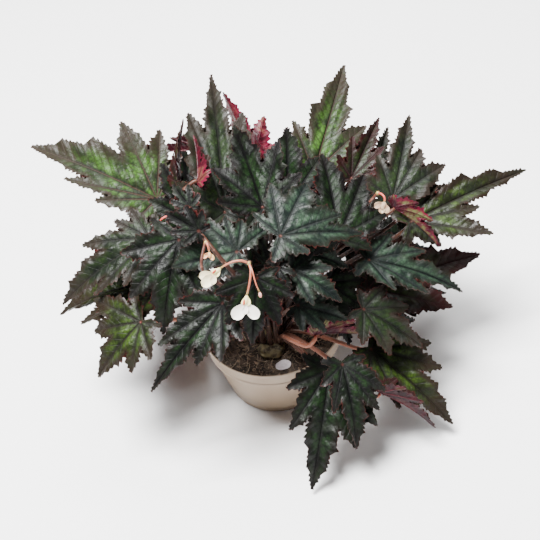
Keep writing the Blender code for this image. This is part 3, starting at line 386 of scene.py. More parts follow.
# Flowers and buds, as the middle of the seed case, the way it points, half its width and length, and its
# petals as (bearing in degrees, length, width)
FLOWERS = {
    "flower_left": ((-42.5, 46.5, 127.5), (-0.7, -0.7, 0.1), 2.6, 4.4,
                    ((-172, 12.0, 7.0), (-134, 13.0, 8.5), (-100, 8.0, 5.0))),
    "flower_right": ((-20.0, 24.5, 130.5), (-0.1, -1, 0.2), 2.8, 4.8,
                     ((-132, 14.5, 10.0), (-48, 14.0, 9.0), (-94, 7.5, 4.6))),
    "bud_front": ((-9.4, 29.2, 131.5), (0.2, -1, 0.0), 1.3, 2.2, ()),
    "bud_right": ((88.6, 98.2, 77), (-0.3, -1, 0.1), 4.2, 5.0, ()),
    "bud_left": ((-48.0, 58.4, 121.5), (0.1, -1, 0.1), 2.8, 3.8, ()),
    "bud_red": ((-93.2, 83.2, 62.5), (-0.2, -1, 0.1), 2.4, 3.5, ()),
}
PETAL_LOOKS = {"flower_left": "petal_cream", "flower_right": "petal"}
PETAL_HALF = 0.22
PETAL_BROADEST = 0.62
PETAL_SHARP = 60.0
WING_WIDTHS = (3.0, 2.1, 2.1)
CASE_SHARE = 0.8
MARK_SIZE = (0.24, 0.2, 0.5)
MARK_PLACE = (-0.55, 0.95, 0.3)

# Buds that begin to open, with their petals' bearings in degrees, and sizes beside the closed bud's
OPEN_BUDS = {"bud_right": (-160, -108, -72), "bud_left": (-140, -60)}
OPEN_PETAL_LENGTH = 1.75
OPEN_PETAL_WIDTH = 1.25
OPEN_BUD_WIDTH = 0.5
OPEN_BUD_LENGTH = 0.7

# The petal that lies on the soil
FALLEN_PETAL_SIZE = (13.6, 10.6)
FALLEN_PETAL_BEARING = math.radians(20.0)

# Finishes of petals and buds, as (name, ground, tint, how strong the tint is)
PETAL_FINISHES = {
    "petal": ("petal_white", (800, 770, 690), (720, 560, 500), 0.3),
    "petal_cream": ("petal_cream", (720, 650, 430), (620, 460, 280), 0.4),
    "mark": ("petal_mark", (500, 20, 10), (620, 60, 20), 0.5),
    "case": ("seed_case", (620, 600, 280), (700, 450, 200), 0.5),
    "fallen": ("petal_fallen", (580, 530, 540), (420, 340, 360), 0.6),
    "bud_front": ("bud_pink", (600, 220, 180), (750, 450, 350), 0.6),
    "bud_right": ("bud_cream", (400, 290, 180), (260, 150, 90), 0.9),
    "bud_left": ("bud_yellow", (550, 360, 150), (550, 120, 50), 0.8),
    "bud_red": ("bud_red", (550, 70, 50), (750, 300, 220), 0.4),
}

# Finishes of the bits in the potting mix, as (name, dark, light), and the pinks of the flower stalks
BIT_FINISHES = {
    "crumb": ("soil_crumb", (20, 14, 10), (190, 135, 95)),
    "chip": ("bark_chip", (50, 32, 21), (340, 235, 155)),
    "fibre": ("bark_fibre", (100, 65, 40), (480, 360, 250)),
}
PINKS = {"pedicel": ("pedicel", (360, 100, 55)), "coral": ("pedicel_coral", (460, 50, 34))}

# Other finishes: name, roughness, ground, layers over it, and bumps as (source, strength, depth). A layer
# is its tint, the source that says where it lies, and the low and high ends and the least and most share
# of its rise. A source is a stored number's name, or the scale and the detail of a noise.
PLAIN_FINISHES = {
    "edge": ("leaf_edge", 0.5, MARGIN_RED, (((45, 22, 14), (60.0, 3.0)),), None),
    # The stalk is dark brown towards the crown and salmon further out: the dark is painted shade. The red
    # near the blade is its own colour.
    "stalk": ("stalk", 0.42, (12, 5, 4),
              (((300, 105, 62), "share", 0.12, 0.62), ((260, 30, 26), "share", 0.78, 1.0),
               ((80, 34, 18), (48.0, 3.0), 0.45, 0.65, 0.0, 0.5),
               ((300, 170, 120), (420.0, 3.0), 0.58, 0.7, 0.0, 0.5)),
              ((420.0, 3.0), 0.3, 0.3), 0.25),
    "rhizome": ("rhizome", 0.7, (36, 24, 13),
                (((180, 145, 72), (150.0, 6.0), 0.38, 0.60),
                 ((200, 160, 90), (420.0, 4.0), 0.55, 0.72, 0.0, 0.7)),
                None),
    "hair": ("hair", 0.6, (90, 45, 35), (((200, 130, 100), (300.0, 3.0)),), None),
    "pot": ("pot_plastic", 0.42, (250, 180, 122),
            (((300, 222, 155), (18.0, 4.0), 0.3, 0.7),
             ((205, 152, 108), (260.0, 5.0), 0.60, 0.78, 0.0, 0.4)),
            ((260.0, 5.0), 0.12, 0.15)),
    "soil": ("soil_mix", 0.92, (20, 14, 10),
             (((90, 62, 43), (120.0, 5.0), 0.35, 0.65), ((130, 90, 60), (700.0, 6.0), 0.55, 0.75, 0.0, 0.5)),
             ((700.0, 6.0), 0.9, 1.2)),
    "floor": ("floor_paper", 0.9, (930, 930, 930), (((940, 940, 940), (3.0, 3.0)),), None),
}

# The eye that looks at the plant
VIEW_POINT = (-2.0, 48.0, 0.0)
VIEW_DISTANCE = 980.0
LENS = 50.0
SENSOR = 24.0
NEAREST = 0.05

# The floor and the light, in metres. Lights are (name, place, size, watts) and face the lit point.
FLOOR_HALF = 14.0
SKY_STRENGTH = 0.05
LIGHTS = (
    ("key", (-0.5, -0.1, 2.2), 0.9, 270.0),
    ("top", (0.3, 1.0, 1.8), 1.2, 40.0),
    ("fill", (1.5, -1.0, 1.2), 1.2, 10.0),
)
LIT_POINT = Vector((0.0, 0.0, 0.1))


def layout_vector(across, rise, out):
    """A direction given along across, rise and out."""
    return ACROSS * across + RISE * rise + OUT * out


def layout_point(across, rise, out):
    """A place given along across, rise and out from the middle of the rim."""
    return RIM_CENTRE + layout_vector(across, rise, out)


def layout_places(join, tip, face):
    """A leaf's join, tip and facing."""
    return layout_point(*join), layout_point(*tip), layout_vector(*face)


def polar(angle, radius=1.0):
    """The x and y of a place at that bearing and distance, or of many places."""
    return radius * np.cos(angle), radius * np.sin(angle)


def smooth_step(values, low, high):
    """A soft rise from 0 at low to 1 at high, for an array."""
    share = np.clip((np.asarray(values) - low) / (high - low), 0.0, 1.0)
    return share * share * (3.0 - 2.0 * share)


def bands(rings, sides, first=0):
    """Faces that join rings of points, each to the next, from the first point on."""
    faces = []
    for ring in range(rings - 1):
        for corner in range(sides):
            a = first + ring * sides + corner
            b = first + ring * sides + (corner + 1) % sides
            faces.append((a, b, b + sides, a + sides))
    return faces


def flipped(faces, shift=0):
    """The same faces seen from their other side, with their points' numbers shifted."""
    return [tuple(shift + i for i in (face[0], *face[:0:-1])) for face in faces]


def linked(name, data):
    """A new object in the scene."""
    obj = bpy.data.objects.new(name, data)
    bpy.context.scene.collection.objects.link(obj)
    return obj


def link_piece(name, points, faces, kinds, materials, slot, stands_for=(), smooth=True, sharp=None):
    """A piece from points in millimetres and the number of each face's material, in place of CAD nodes."""
    mesh = bpy.data.meshes.new(name)
    mesh.from_pydata((np.asarray(points, dtype=float) * MM).tolist(), [], faces)
    for material in materials:
        mesh.materials.append(material)
    mesh.polygons.foreach_set("material_index", kinds)
    mesh.polygons.foreach_set("use_smooth", [smooth] * len(faces))
    mesh.update()
    if sharp:
        mesh.set_sharp_from_angle(angle=math.radians(sharp))
    obj = linked(name, mesh)
    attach(obj, "root")
    if stands_for:
        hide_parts(*stands_for)
    return obj


def store(obj, numbers, domain):
    """Keeps named numbers for the corners or points of a mesh, for its material to read."""
    for name, values in numbers.items():
        layer = obj.data.attributes.new(name, "FLOAT", domain)
        layer.data.foreach_set("value", np.asarray(values, dtype=np.float32))


class Value:
    """A number or colour that a material's nodes work out, different from place to place."""

    def __init__(self, finish, socket):
        self.finish = finish
        self.socket = socket

    def __add__(self, other):
        return self.finish.math("ADD", self, other)

    def __sub__(self, other):
        return self.finish.math("SUBTRACT", self, other)

    def __rsub__(self, other):
        return self.finish.math("SUBTRACT", other, self)

    def __mul__(self, other):
        return self.finish.math("MULTIPLY", self, other)

    def __truediv__(self, other):
        return self.finish.math("DIVIDE", self, other)

    def most(self, other):
        return self.finish.math("MAXIMUM", self, other)


class Finish:
    """A material built from nodes, whose colour is painted in layers."""

    def __init__(self, name, roughness, ground, gloss=None):
        self.material = bpy.data.materials.new(name)
        self.material.use_nodes = True
        self.nodes = self.material.node_tree.nodes
        self.sockets = self.nodes["Principled BSDF"].inputs
        self.sockets["Roughness"].default_value = roughness
        if gloss is not None:
            self.sockets["Specular IOR Level"].default_value = gloss
        self.place = self.add("TexCoord", "Object")
        self.tone = ground

    def feed(self, socket, value):
        """Gives a socket a value, a colour in thousandths or a number."""
        if isinstance(value, Value):
            self.material.node_tree.links.new(value.socket, socket)
        elif isinstance(value, tuple):
            socket.default_value = (*(part / FULL_COLOUR for part in value), 1.0)
        else:
            socket.default_value = value

    def add(self, kind, output, inputs=(), **settings):
        """The output of a new node."""
        node = self.nodes.new("ShaderNode" + kind)
        for key, value in settings.items():
            setattr(node, key, value)
        for key, value in dict(inputs).items():
            self.feed(node.inputs[key], value)
        return Value(self, node.outputs[output])

    def stored(self, name):
        return self.add("Attribute", "Fac", attribute_name=name)

    def math(self, operation, *values):
        return self.add("Math", 0, enumerate(values), operation=operation)

    def step(self, value, low, high, start=0.0, end=1.0):
        """A soft rise from start at low to end at high."""
        inputs = {"Value": value, "From Min": low, "From Max": high, "To Min": start, "To Max": end}
        return self.add("MapRange", "Result", inputs, interpolation_type="SMOOTHSTEP")

    def noise(self, scale, detail=3.0, roughness=0.55):
        inputs = {"Vector": self.place, "Scale": scale, "Detail": detail, "Roughness": roughness}
        return self.add("TexNoise", "Fac", inputs)

    def cells(self, scale, feature="F1"):
        return self.add("TexVoronoi", "Distance", {"Vector": self.place, "Scale": scale}, feature=feature)

    def source(self, source):
        """A stored number by its name, or a noise by its scale and detail."""
        return self.stored(source) if isinstance(source, str) else self.noise(*source)

    def mix(self, share, first, second):
        return self.add("Mix", 2, {0: share, 6: first, 7: second}, data_type="RGBA")

    def paint(self, tint, share):
        """Lays a tint over the colour, as strongly as share says."""
        self.tone = self.mix(share, self.tone, tint)
        self.feed(self.sockets["Base Color"], self.tone)

    def rough(self, value):
        self.feed(self.sockets["Roughness"], value)

    def bump(self, height, strength, depth):
        """Bumps of that depth in millimetres."""
        inputs = {"Height": height, "Strength": strength, "Distance": depth * MM}
        self.feed(self.sockets["Normal"], self.add("Bump", "Normal", inputs))


class LeafFinish(Finish):
    """A leaf's material, with what the numbers stored on a leaf say."""

    def __init__(self, name, roughness, ground, gloss):
        super().__init__(name, roughness, ground, gloss)
        self.across, self.edge, self.along = map(self.stored, ("across", "edge", "along"))
        phase = self.stored("phase")
        from_vein = self.math("ABSOLUTE", phase - self.math("ROUND", phase))
        outward = self.across / (self.across + self.edge + 0.01)
        self.blotch = self.noise(70.0, 5.0, 0.62) - 0.5
        self.main = self.step(self.across, 0.25, 1.0, 1.0, 0.0)
        self.side = self.step(from_vein, 0.015, 0.07, 1.0, 0.0)
        self.between = self.step(from_vein + (self.noise(240.0) - 0.5) * 0.55, -0.02, 0.24, 0.62, 1.0)
        self.margin = self.step(outward + self.blotch * 0.9, 0.42, 0.88)
        self.joint = self.step(self.stored("reach"), 0.5, 2.2, 1.0, 0.0)


def leaf_top_finish(name):
    """Dark leaf top with greener patches between its veins, a brown margin and tips, a fine red edge, and
    soft blotches of painted grey-green sheen.
    """
    ground, patch, rim, vein, strength, reach, roughness, gloss = COLOURINGS[name]
    leaf = LeafFinish("leaf_top_" + name, roughness, ground, gloss)
    outer = leaf.margin.most(leaf.step(leaf.along + leaf.blotch * 0.7, reach * 0.55, reach))
    off_vein = leaf.step(leaf.across + leaf.blotch * 4.0, 0.4, 3.4)
    spots = leaf.step(leaf.blotch, -0.10, 0.10, strength * 0.12, strength)
    net = leaf.step(leaf.cells(300.0, "DISTANCE_TO_EDGE"), 0.02, 0.16, 0.5, 1.0)
    red = leaf.step(leaf.edge, 0.05, 0.5, 0.9, 0.0) * leaf.step(leaf.noise(45.0), 0.45, 0.62, 0.1, 1.0)
    leaf.paint(rim, outer * 0.85)
    leaf.paint(patch, (1.0 - outer) * off_vein * leaf.between * spots * net)
    # Painted sheen: soft grey-green blotches that stand for the silvery reflection off the leaves
    leaf.paint(PAINTED_SHEEN_GREEN, leaf.step(leaf.noise(85.0, 4.0), 0.50, 0.70, 0.0, 0.4))
    leaf.paint(vein, (leaf.main * leaf.step(leaf.along, 0.2, 0.75, 0.8, 0.2)).most(leaf.side * 0.3))
    leaf.paint(JOINT_PINK, leaf.joint * 0.6)
    leaf.paint(leaf.mix(0.5, patch, rim), leaf.step(leaf.noise(520.0), 0.54, 0.72, 0.0, 0.30))
    leaf.paint(MARGIN_RED, red)
    puckers = leaf.cells(360.0, "SMOOTH_F1") * -0.7 + leaf.cells(850.0) * -0.30
    leaf.bump(puckers + leaf.side * -0.35 + leaf.main * -0.6, 0.7, 0.6)
    rough = leaf.step(leaf.noise(130.0), 0.3, 0.7, roughness, roughness + 0.14)
    leaf.rough(rough.most(leaf.step(leaf.across, 0.5, 3.5, 0.6, 0.0)))
    return leaf.material


def leaf_under_finish(name):
    """Wine red underside with raised veins and pale green patches near the main veins."""
    dark, bright, patch, vein = UNDERSIDES[name]
    leaf = LeafFinish("leaf_under_" + name, 0.38, dark, 0.14)
    leaf.paint(bright, leaf.step(leaf.blotch, -0.12, 0.12))
    leaf.paint(patch, (1.0 - leaf.margin) * leaf.between * leaf.step(leaf.blotch, -0.04, 0.12, 0.0, 0.85))
    leaf.paint(vein, leaf.main.most(leaf.side * 0.45) * leaf.step(leaf.along, 0.3, 0.95, 0.85, 0.2))
    leaf.bump(leaf.cells(250.0, "SMOOTH_F1") + leaf.main + leaf.side * 0.6, 0.8, 0.7)
    return leaf.material


def plain_finish(name, roughness, ground, layers, bumps, gloss=None):
    """A finish painted in the layers given."""
    finish = Finish(name, roughness, ground, gloss)
    for tint, source, *rise in layers:
        share = finish.source(source)
        finish.paint(tint, finish.step(share, *rise) if rise else share)
    if bumps:
        finish.bump(finish.source(bumps[0]), *bumps[1:])
    return finish


def pedicel_finish(name, pink):
    """Pink or coral flower stalk, brown below and yellow-green where it carries a flower."""
    layers = ((pink, "share", 0.1, 0.5), ((360, 280, 80), "share", 0.86, 1.0, 0.0, 0.85),
              ((400, 170, 120), (300.0, 3.0), 0.5, 0.7, 0.0, 0.4))
    return plain_finish(name, 0.4, (30, 10, 7), layers, ((600.0, 3.0), 0.2, 0.2))


def bit_finish(name, dark, light):
    """A bit of the potting mix, each lump with a brown of its own."""
    layers = ((light, "shade"), (dark, (800.0, 4.0), 0.4, 0.7, 0.0, 0.5))
    return plain_finish(name, 0.85, dark, layers, ((1200.0, 3.0), 0.6, 0.5))


def petal_finish(name, base, tint, strength):
    """A soft petal, tinted in faint streaks."""
    layers = ((tint, (350.0, 3.0), 0.35, 0.7, 0.0, strength),)
    return plain_finish(name, 0.5, base, layers, ((900.0, 2.0), 0.2, 0.2))


def make_finishes():
    """All materials by the keys that the pieces use."""
    finishes = {name: leaf_top_finish(name) for name in COLOURINGS}
    finishes.update({"under_" + name: leaf_under_finish(name) for name in UNDERSIDES})
    plain = {key: plain_finish(*row) for key, row in PLAIN_FINISHES.items()}
    bark, plastic = plain["rhizome"], plain["pot"]
    bark.bump(bark.noise(480.0, 5.0) + bark.cells(260.0) * 0.8, 0.9, 1.2)
    plastic.rough(plastic.step(plastic.noise(18.0, 4.0), 0.3, 0.7, 0.36, 0.5))
    for make, rows in ((pedicel_finish, PINKS), (bit_finish, BIT_FINISHES), (petal_finish, PETAL_FINISHES)):
        plain.update({key: make(*row) for key, row in rows.items()})
    finishes.update({key: finish.material for key, finish in plain.items()})
    return finishes


class Blade:
    """A lobed leaf blade: a flat outline in lengths of its main lobe, bent and placed by its join and tip.

    The first part repeats the CAD blade, and the rest adds serrations, veins, quilting and waves.
    """

    def __init__(self, shape, join, tip, face, fold, droop, name):
        self.rng = random.Random(name)
        self.phase = self.rng.uniform(0.0, math.tau)
        self.angles, self.reaches = np.array(LOBES[shape]).T
        self.angles = np.radians(self.angles)
        self.tips = np.stack(polar(self.angles, self.reaches), axis=1)
        self.fold = math.radians(fold)
        self.droop = math.radians(droop)
        self.detail = 0.0
        self.set_place(join, tip, face)
        self.set_cuts()
        self.offsets = np.array([self.rng.random() for _ in self.angles])
        draw = self.rng.uniform
        self.waves = [(draw(0, math.tau), draw(0, math.tau), size) for size in WAVE_LENGTHS]
        curls = [draw(-1.0, 1.0) * CURL_HEIGHT * (1.0 - reach) / 0.4 for reach in self.reaches]
        self.curls = np.clip(curls, -CURL_HEIGHT, CURL_HEIGHT)

    def set_place(self, join, tip, face):
        """Works out the turn and the scale that take the bent blade to its place."""
        self.join = np.array(join)
        chord = self.bent(np.array([[1.0, 0.0]]))[0]
        size = np.linalg.norm(chord)
        side = np.array((0.0, 1.0, 0.0))
        world_1 = (tip - join).normalized()
        world_3 = (face - world_1 * face.dot(world_1)).normalized()
        local = chord / size, side, np.cross(chord / size, side)
        world = world_1, world_3.cross(world_1), world_3
        self.turn = sum(np.outer(*pair) for pair in zip(local, world))
        self.scale = (tip - join).length / size

    def set_cuts(self):
        """The bottoms of the cuts between the lobes, and how much room each flank has."""
        before, after = self.reaches[:-1], self.reaches[1:]
        room = np.minimum(1.0, np.diff(self.angles) / OPEN_ANGLE)
        middle = (self.angles[:-1] * after + self.angles[1:] * before) / (before + after)
        depth = (SINUS_DEPTH + SINUS_RISE * (1.0 - room)) * np.minimum(before, after)
        angles = [(self.angles[0] - math.pi) / 2.0, *middle, (self.angles[-1] + math.pi) / 2.0]
        self.cuts = np.stack(polar(angles, np.array([NOTCH_RADIUS, *depth, NOTCH_RADIUS])), axis=1)
        self.bounds = np.arctan2(self.cuts[1:-1, 1], self.cuts[1:-1, 0])
        self.rooms = [1.0, *room, 1.0]

    def vein_distance(self, flat):
        """Distance of flat points from the nearest main vein."""
        shares = np.clip(flat @ self.tips.T / np.sum(self.tips ** 2, axis=1), 0.0, VEIN_END)
        away = flat[:, None, :] - shares[:, :, None] * self.tips[None, :, :]
        return np.linalg.norm(away, axis=2).min(axis=1)

    def bent(self, flat):
        """Places of flat points on the bent blade, whose main lobe is one unit long."""
        u, v = flat[:, 0], flat[:, 1]
        lift = VEIN_SLOPE * self.vein_distance(flat)
        lift = lift + RUFFLE_HEIGHT * (u * u + v * v) * np.sin(RUFFLE_WAVES * np.arctan2(v, u) + self.phase)
        if self.detail:
            lift = lift + self.relief(flat)
        most = FOLD_SHIFT * np.abs(v)
        side = v * math.cos(self.fold) - np.sign(v) * np.clip(lift, -most, most) * math.sin(self.fold)
        height = np.abs(v) * math.sin(self.fold) + lift * math.cos(self.fold)
        spread = np.hypot(u, side)
        turn = self.droop * spread
        far = np.sin(turn) / self.droop + height * np.sin(turn)
        drop = height * np.cos(turn) - (1.0 - np.cos(turn)) / self.droop
        safe = np.maximum(spread, 1e-9)
        return np.stack([u / safe * far, side / safe * far, drop], axis=1)

    def placed(self, flat):
        """Places of flat points in the plant, in millimetres."""
        return self.join + self.scale * (self.bent(flat) @ self.turn)

    def normals(self, flat):
        """The way the blade's top faces at flat points."""
        step = 0.5 / self.scale
        along, over = (self.placed(flat + way) - self.placed(flat - way)
                       for way in (np.array((step, 0.0)), np.array((0.0, step))))
        square = np.cross(along, over)
        return square / np.linalg.norm(square, axis=1)[:, None]

    def underside(self):
        """Where the stalk meets the blade from below, the way down from there and the way to the tip."""
        down = -Vector(self.turn[2])
        return Vector(self.join) + down * (CAD_THICKNESS / 2.0 + GAP), down, Vector(self.turn[0])

    def stalk_end(self):
        """Where the stalk ends, just inside the blade's underside."""
        return Vector(self.join) - Vector(self.turn[2]) * STALK_END_DEPTH

    def flank(self, root, tip, side, room):
        """Points along a lobe's side from root to tip, with large teeth and fine serrations between them."""
        outward = np.array((tip[1] - root[1], root[0] - tip[0])) * side
        size = np.linalg.norm(tip - root) * self.scale
        teeth = 2 if size > LONG_FLANK else 1 if size > SHORT_FLANK else 0
        marks = [(0.0, 0.0)] if teeth else [(0.0, 0.0), (PLAIN_FLANK[0], PLAIN_FLANK[1] * room)]
        for index in range(teeth):
            share = (index + 1.0) / (teeth + 1.0)
            swell = room * LOBE_BULGE * math.sin(math.pi * share) * (1.4 - share)
            marks.append((share, swell + TOOTH_HEIGHT * room * (1.2 - share)))
            marks.append((share + TOOTH_STEP, swell * 0.7 - TOOTH_CUT))
        marks += [(BLUNT_TIP[0], BLUNT_TIP[1] * room), (1.0, 0.0)]
        points = []
        for start, end in zip(np.array(marks), np.array(marks[1:])):
            run = end - start
            steps = 0 if abs(run[0] - TOOTH_STEP) < 1e-6 else max(1, round(run[0] * size / SERRATION_PITCH))
            for step in range(steps):
                peak = (step + self.rng.uniform(*SERRATION_PEAKS)) / steps
                rise = SERRATION_HEIGHT / size * self.rng.uniform(*SERRATION_SIZES) * (1.0 - 0.5 * start[0])
                points.append(start + run * (peak - 0.3 / steps) + (0.0, rise * 0.75))
                points.append(start + run * peak + (0.0, rise))
                if step + 1 < steps:
                    points.append(start + run * ((step + 1.0) / steps))
            if end[0] < 1.0:
                points.append(end)
        return [root + (tip - root) * share + outward * rise for share, rise in points]

    def outline(self):
        """Flat outline from the first lobe round to the last, against the clock, and its key points."""
        points, tip_places, cut_places = [np.array((-NOTCH_BOTTOM, 0.0))], [], []
        for index, tip in enumerate(self.tips):
            cut_places.append(len(points))
            points.append(self.cuts[index])
            points += self.flank(self.cuts[index], tip, 1.0, self.rooms[index])
            tip_places.append(len(points))
            points.append(tip)
            points += reversed(self.flank(self.cuts[index + 1], tip, -1.0, self.rooms[index + 1]))
        return points + [self.cuts[-1]], tip_places, cut_places[1:]

    def lobe_of(self, flat):
        """The number of the lobe in which each flat point lies."""
        return np.searchsorted(self.bounds, np.arctan2(flat[:, 1], flat[:, 0]))

    def lobe_places(self, flat, lobes):
        """Millimetres along and away from the main vein of the lobe given for each flat point."""
        ahead = self.tips[lobes] / self.reaches[lobes][:, None]
        along = np.sum(flat * ahead, axis=1) * self.scale
        away = (ahead[:, 0] * flat[:, 1] - ahead[:, 1] * flat[:, 0]) * self.scale
        return along, away

    def side_phase(self, along, away, lobes):
        """Counts the side veins of a lobe, which lie where it is a whole number."""
        size = np.minimum(1.0, self.reaches[lobes] * self.scale / FULL_PITCH_SIZE)
        pitch = SIDE_VEIN_PITCH * (0.55 + 0.45 * size)
        forward = along - np.abs(away) * SIDE_VEIN_FORWARD - away * away * SIDE_VEIN_CURVE
        return forward / pitch + self.offsets[lobes] + np.where(away > 0.0, 0.5, 0.0)

    def relief(self, flat):
        """Lift of the quilting between the side veins and of the waves near the edge."""
        lobes = self.lobe_of(flat)
        along, away = self.lobe_places(flat, lobes)
        phase = self.side_phase(along, away, lobes)
        between = 1.0 - (1.0 - 2.0 * np.abs(phase - np.round(phase))) ** 2
        x, y = flat.T * self.scale
        off_bound = np.abs(np.arctan2(y, x)[:, None] - self.bounds[None, :]).min(axis=1)
        from_bound = off_bound * np.hypot(x, y)
        spread = np.abs(away)
        fades = smooth_step(spread, *VEIN_FADE) * smooth_step(along, *JOIN_FADE)
        fades = fades * smooth_step(from_bound, *BOUND_FADE)
        wave = sum(np.sin((x * math.cos(bearing) + y * math.sin(bearing)) * math.tau / size + start)
                   for bearing, start, size in self.waves)
        wave = wave * WAVE_HEIGHT / len(self.waves) * smooth_step(spread, *WAVE_FADE)
        out = np.clip(along / (self.reaches[lobes] * self.scale) - 0.5, 0.0, 0.5) * 2.0
        curl = self.curls[lobes] * out * out * smooth_step(from_bound, *CURL_FADE)
        return ((QUILT_HEIGHT * between * fades + wave) * self.detail + curl) / self.scale

    def mesh(self, grid):
        """Points, faces, the material of each face, and the numbers stored for each corner."""
        self.detail = min(1.0, self.scale / FULL_RELIEF_SIZE)
        flat, triangles, rim, edge = self.flat_mesh(grid)
        middle = self.placed(flat)
        half = RIM_HALF + (BLADE_HALF - RIM_HALF) * smooth_step(edge, 0.0, 1.0)
        square = self.normals(flat) * half[:, None]
        count = len(flat)
        under = triangles[:, ::-1] + count
        sides = np.array([(a + count, b + count, b, a) for a, b in rim])
        faces = triangles.tolist() + under.tolist() + sides.tolist()
        kinds = [0] * len(triangles) + [1] * len(under) + [2] * len(sides)
        numbers = self.corner_numbers(flat, np.concatenate([triangles, triangles[:, ::-1]]), edge)
        numbers = {key: np.append(values, np.zeros(sides.size)) for key, values in numbers.items()}
        return np.concatenate([middle + square, middle - square]), faces, kinds, numbers

    def corner_numbers(self, flat, triangles, edge):
        """Where each corner of the flat triangles lies among the veins."""
        corners = triangles.ravel()
        lobes = np.repeat(self.lobe_of(flat[triangles].mean(axis=1)), 3)
        along, away = self.lobe_places(flat[corners], lobes)
        centre_away = away.reshape(-1, 3).mean(axis=1).repeat(3)
        one_side = np.where(centre_away > 0.0, np.abs(away) + 1e-6, -np.abs(away) - 1e-6)
        return {
            "across": np.abs(away),
            "phase": self.side_phase(along, one_side, lobes),
            "along": along / (self.reaches[lobes] * self.scale),
            "edge": edge[corners],
            "reach": np.hypot(*flat[corners].T) * self.scale,
        }

    def flat_mesh(self, grid):
        """Flat points and triangles with edges along the veins and between the lobes."""
        points, tip_places, cut_places = self.outline()
        border = np.array(points)
        count = len(points)
        rim = [(i, (i + 1) % count) for i in range(count)]
        edges = list(rim)
        step = grid / self.scale
        points.append(np.zeros(2))
        for place in tip_places + cut_places:
            end, on_vein = border[place], place in tip_places
            reach = np.linalg.norm(end)
            shares = np.arange(step if on_vein else step * 3.5, reach - step * 0.6, step) / reach
            chain = [*range(len(points), len(points) + len(shares)), place]
            if on_vein:
                chain.insert(0, count)
            points += [end * share for share in shares]
            edges += zip(chain, chain[1:])
        everything = np.concatenate([points, self.fill_points(border, points, step)])
        result = delaunay_2d_cdt([Vector(p) for p in everything], edges, [list(range(count))], 1, 1e-7)
        flat = np.array([tuple(p) for p in result[0]])
        order = {old: new for new, origins in enumerate(result[3]) for old in origins}
        rim = [(order[a], order[b]) for a, b in rim]
        return flat, np.array([tuple(f) for f in result[2]]), rim, edge_distance(flat, border) * self.scale

    def fill_points(self, border, fixed, step):
        """An even, slightly shaken grid of points inside the outline."""
        low, high = border.min(axis=0), border.max(axis=0)
        grid = []
        for number, y in enumerate(np.arange(low[1], high[1], step * FILL_ROW)):
            for x in np.arange(low[0] + (number % 2) * step / 2.0, high[0], step):
                grid.append([middle + self.rng.uniform(-FILL_SHAKE, FILL_SHAKE) * step for middle in (x, y)])
        grid = np.array(grid)
        grid = grid[inside(grid, border)]
        grid = grid[edge_distance(grid, border) > step * FILL_ROOM]
        near = search_tree((x, y, 0.0) for x, y in fixed)
        return np.array([p for p in grid if near.find((*p, 0.0))[2] > step * FILL_GAP]).reshape(-1, 2)


def search_tree(places):
    """A tree that finds the nearest of some places."""
    places = list(places)
    tree = KDTree(len(places))
    for index, place in enumerate(places):
        tree.insert(place, index)
    tree.balance()
    return tree


def edge_distance(flat, border):
    """Distance of flat points from the outline."""
    best = np.full(len(flat), np.inf)
    for start, run in zip(border, np.roll(border, -1, axis=0) - border):
        away = flat - start
        share = np.clip(away @ run / max(run @ run, 1e-12), 0.0, 1.0)
        gap = away - share[:, None] * run
        best = np.minimum(best, np.einsum("ij,ij->i", gap, gap))
    return np.sqrt(best)


def inside(points, border):
    """Whether each point lies inside a closed outline."""
    result = np.zeros(len(points), dtype=bool)
    x, y = points.T
    for (ax, ay), (bx, by) in zip(border, np.roll(border, -1, axis=0)):
        if ay != by:
            crosses = (y > min(ay, by)) & (y <= max(ay, by))
            result ^= crosses & (x < ax + (y - ay) * (bx - ax) / (by - ay))
    return result


def leaf_rows():
    """Every leaf with its places worked out and the way it may have been moved, front leaves first."""
    rows = []
    for name, shape, join, tip, face, fold, droop, look in FRONT_LEAVES:
        rows.append((name, shape, *layout_places(join, tip, face), fold, droop, OUT, look))
    for number, (bearing, height, reach, tip_height, tip_reach, look) in enumerate(BACK_LEAVES, 1):
        away = Vector((*polar(math.radians(bearing)), 0.0))
        places = away * reach + UP * height, away * tip_reach + UP * tip_height, UP + away * BACK_FACE_LEAN
        rows.append(("back_%02d" % number, "broad_star", *places, BACK_FOLD, BACK_DROOP, UP, look))
    return rows


def node_points(frame, name):
    """A search tree of a CAD node's points, in millimetres."""
    return search_tree(vertex.co / MM for vertex in frame["nodes"][name].data.vertices)


def find_blade(frame, row):
    """The blade of a leaf, moved as its CAD node was to stand clear of the others."""
    name, shape, join, tip, face, fold, droop, depth, _ = row
    tree = node_points(frame, "leaf_" + name)

    def miss(blade):
        return sum(tree.find(Vector(point))[2] for point in blade.placed(blade.tips))

    return min((Blade(shape, join + depth * whole, tip + depth * (whole + more), face, fold, droop, name)
                for whole, more in itertools.product(WHOLE_MOVES, TIP_MOVES)), key=miss)


def bezier(points, shares):
    """Places along a curve with four control points, at the given shares of it."""
    a, b, c, d = points
    pairs = [(1.0 - t, t) for t in shares]
    return [a * s ** 3 + b * 3 * s * s * t + c * 3 * s * t * t + d * t ** 3 for s, t in pairs]


def stalk_routes(start, end, down, along):
    """The arching routes that the CAD model chooses from."""
    reach = (end - start).length
    sideways = (end - start).cross(UP).normalized()
    bend = end + down * STRAIGHT_END
    routes = []
    for lean, swing, rise, hold in itertools.product(ROUTE_LEANS, ROUTE_SWINGS, ROUTE_RISES, ROUTE_HOLDS):
        arrive = (down + along * lean).normalized()
        first = start + UP * reach * rise + sideways * reach * swing
        second = bend + arrive * reach * hold + sideways * reach * swing * HELD_SWING
        routes.append(bezier((start, first, second, bend), ROUTE_SHARES) + [end])
    return routes


def crown_start(end):
    """Where a stalk leaves the rhizome, on the side that it leans to."""
    bearing = Vector((end.x - ROOT_CENTRE.x, end.y - ROOT_CENTRE.y, 0.0)).normalized()
    return ROOT_CENTRE + UP * CROWN_HEIGHT + bearing * CROWN_RADIUS


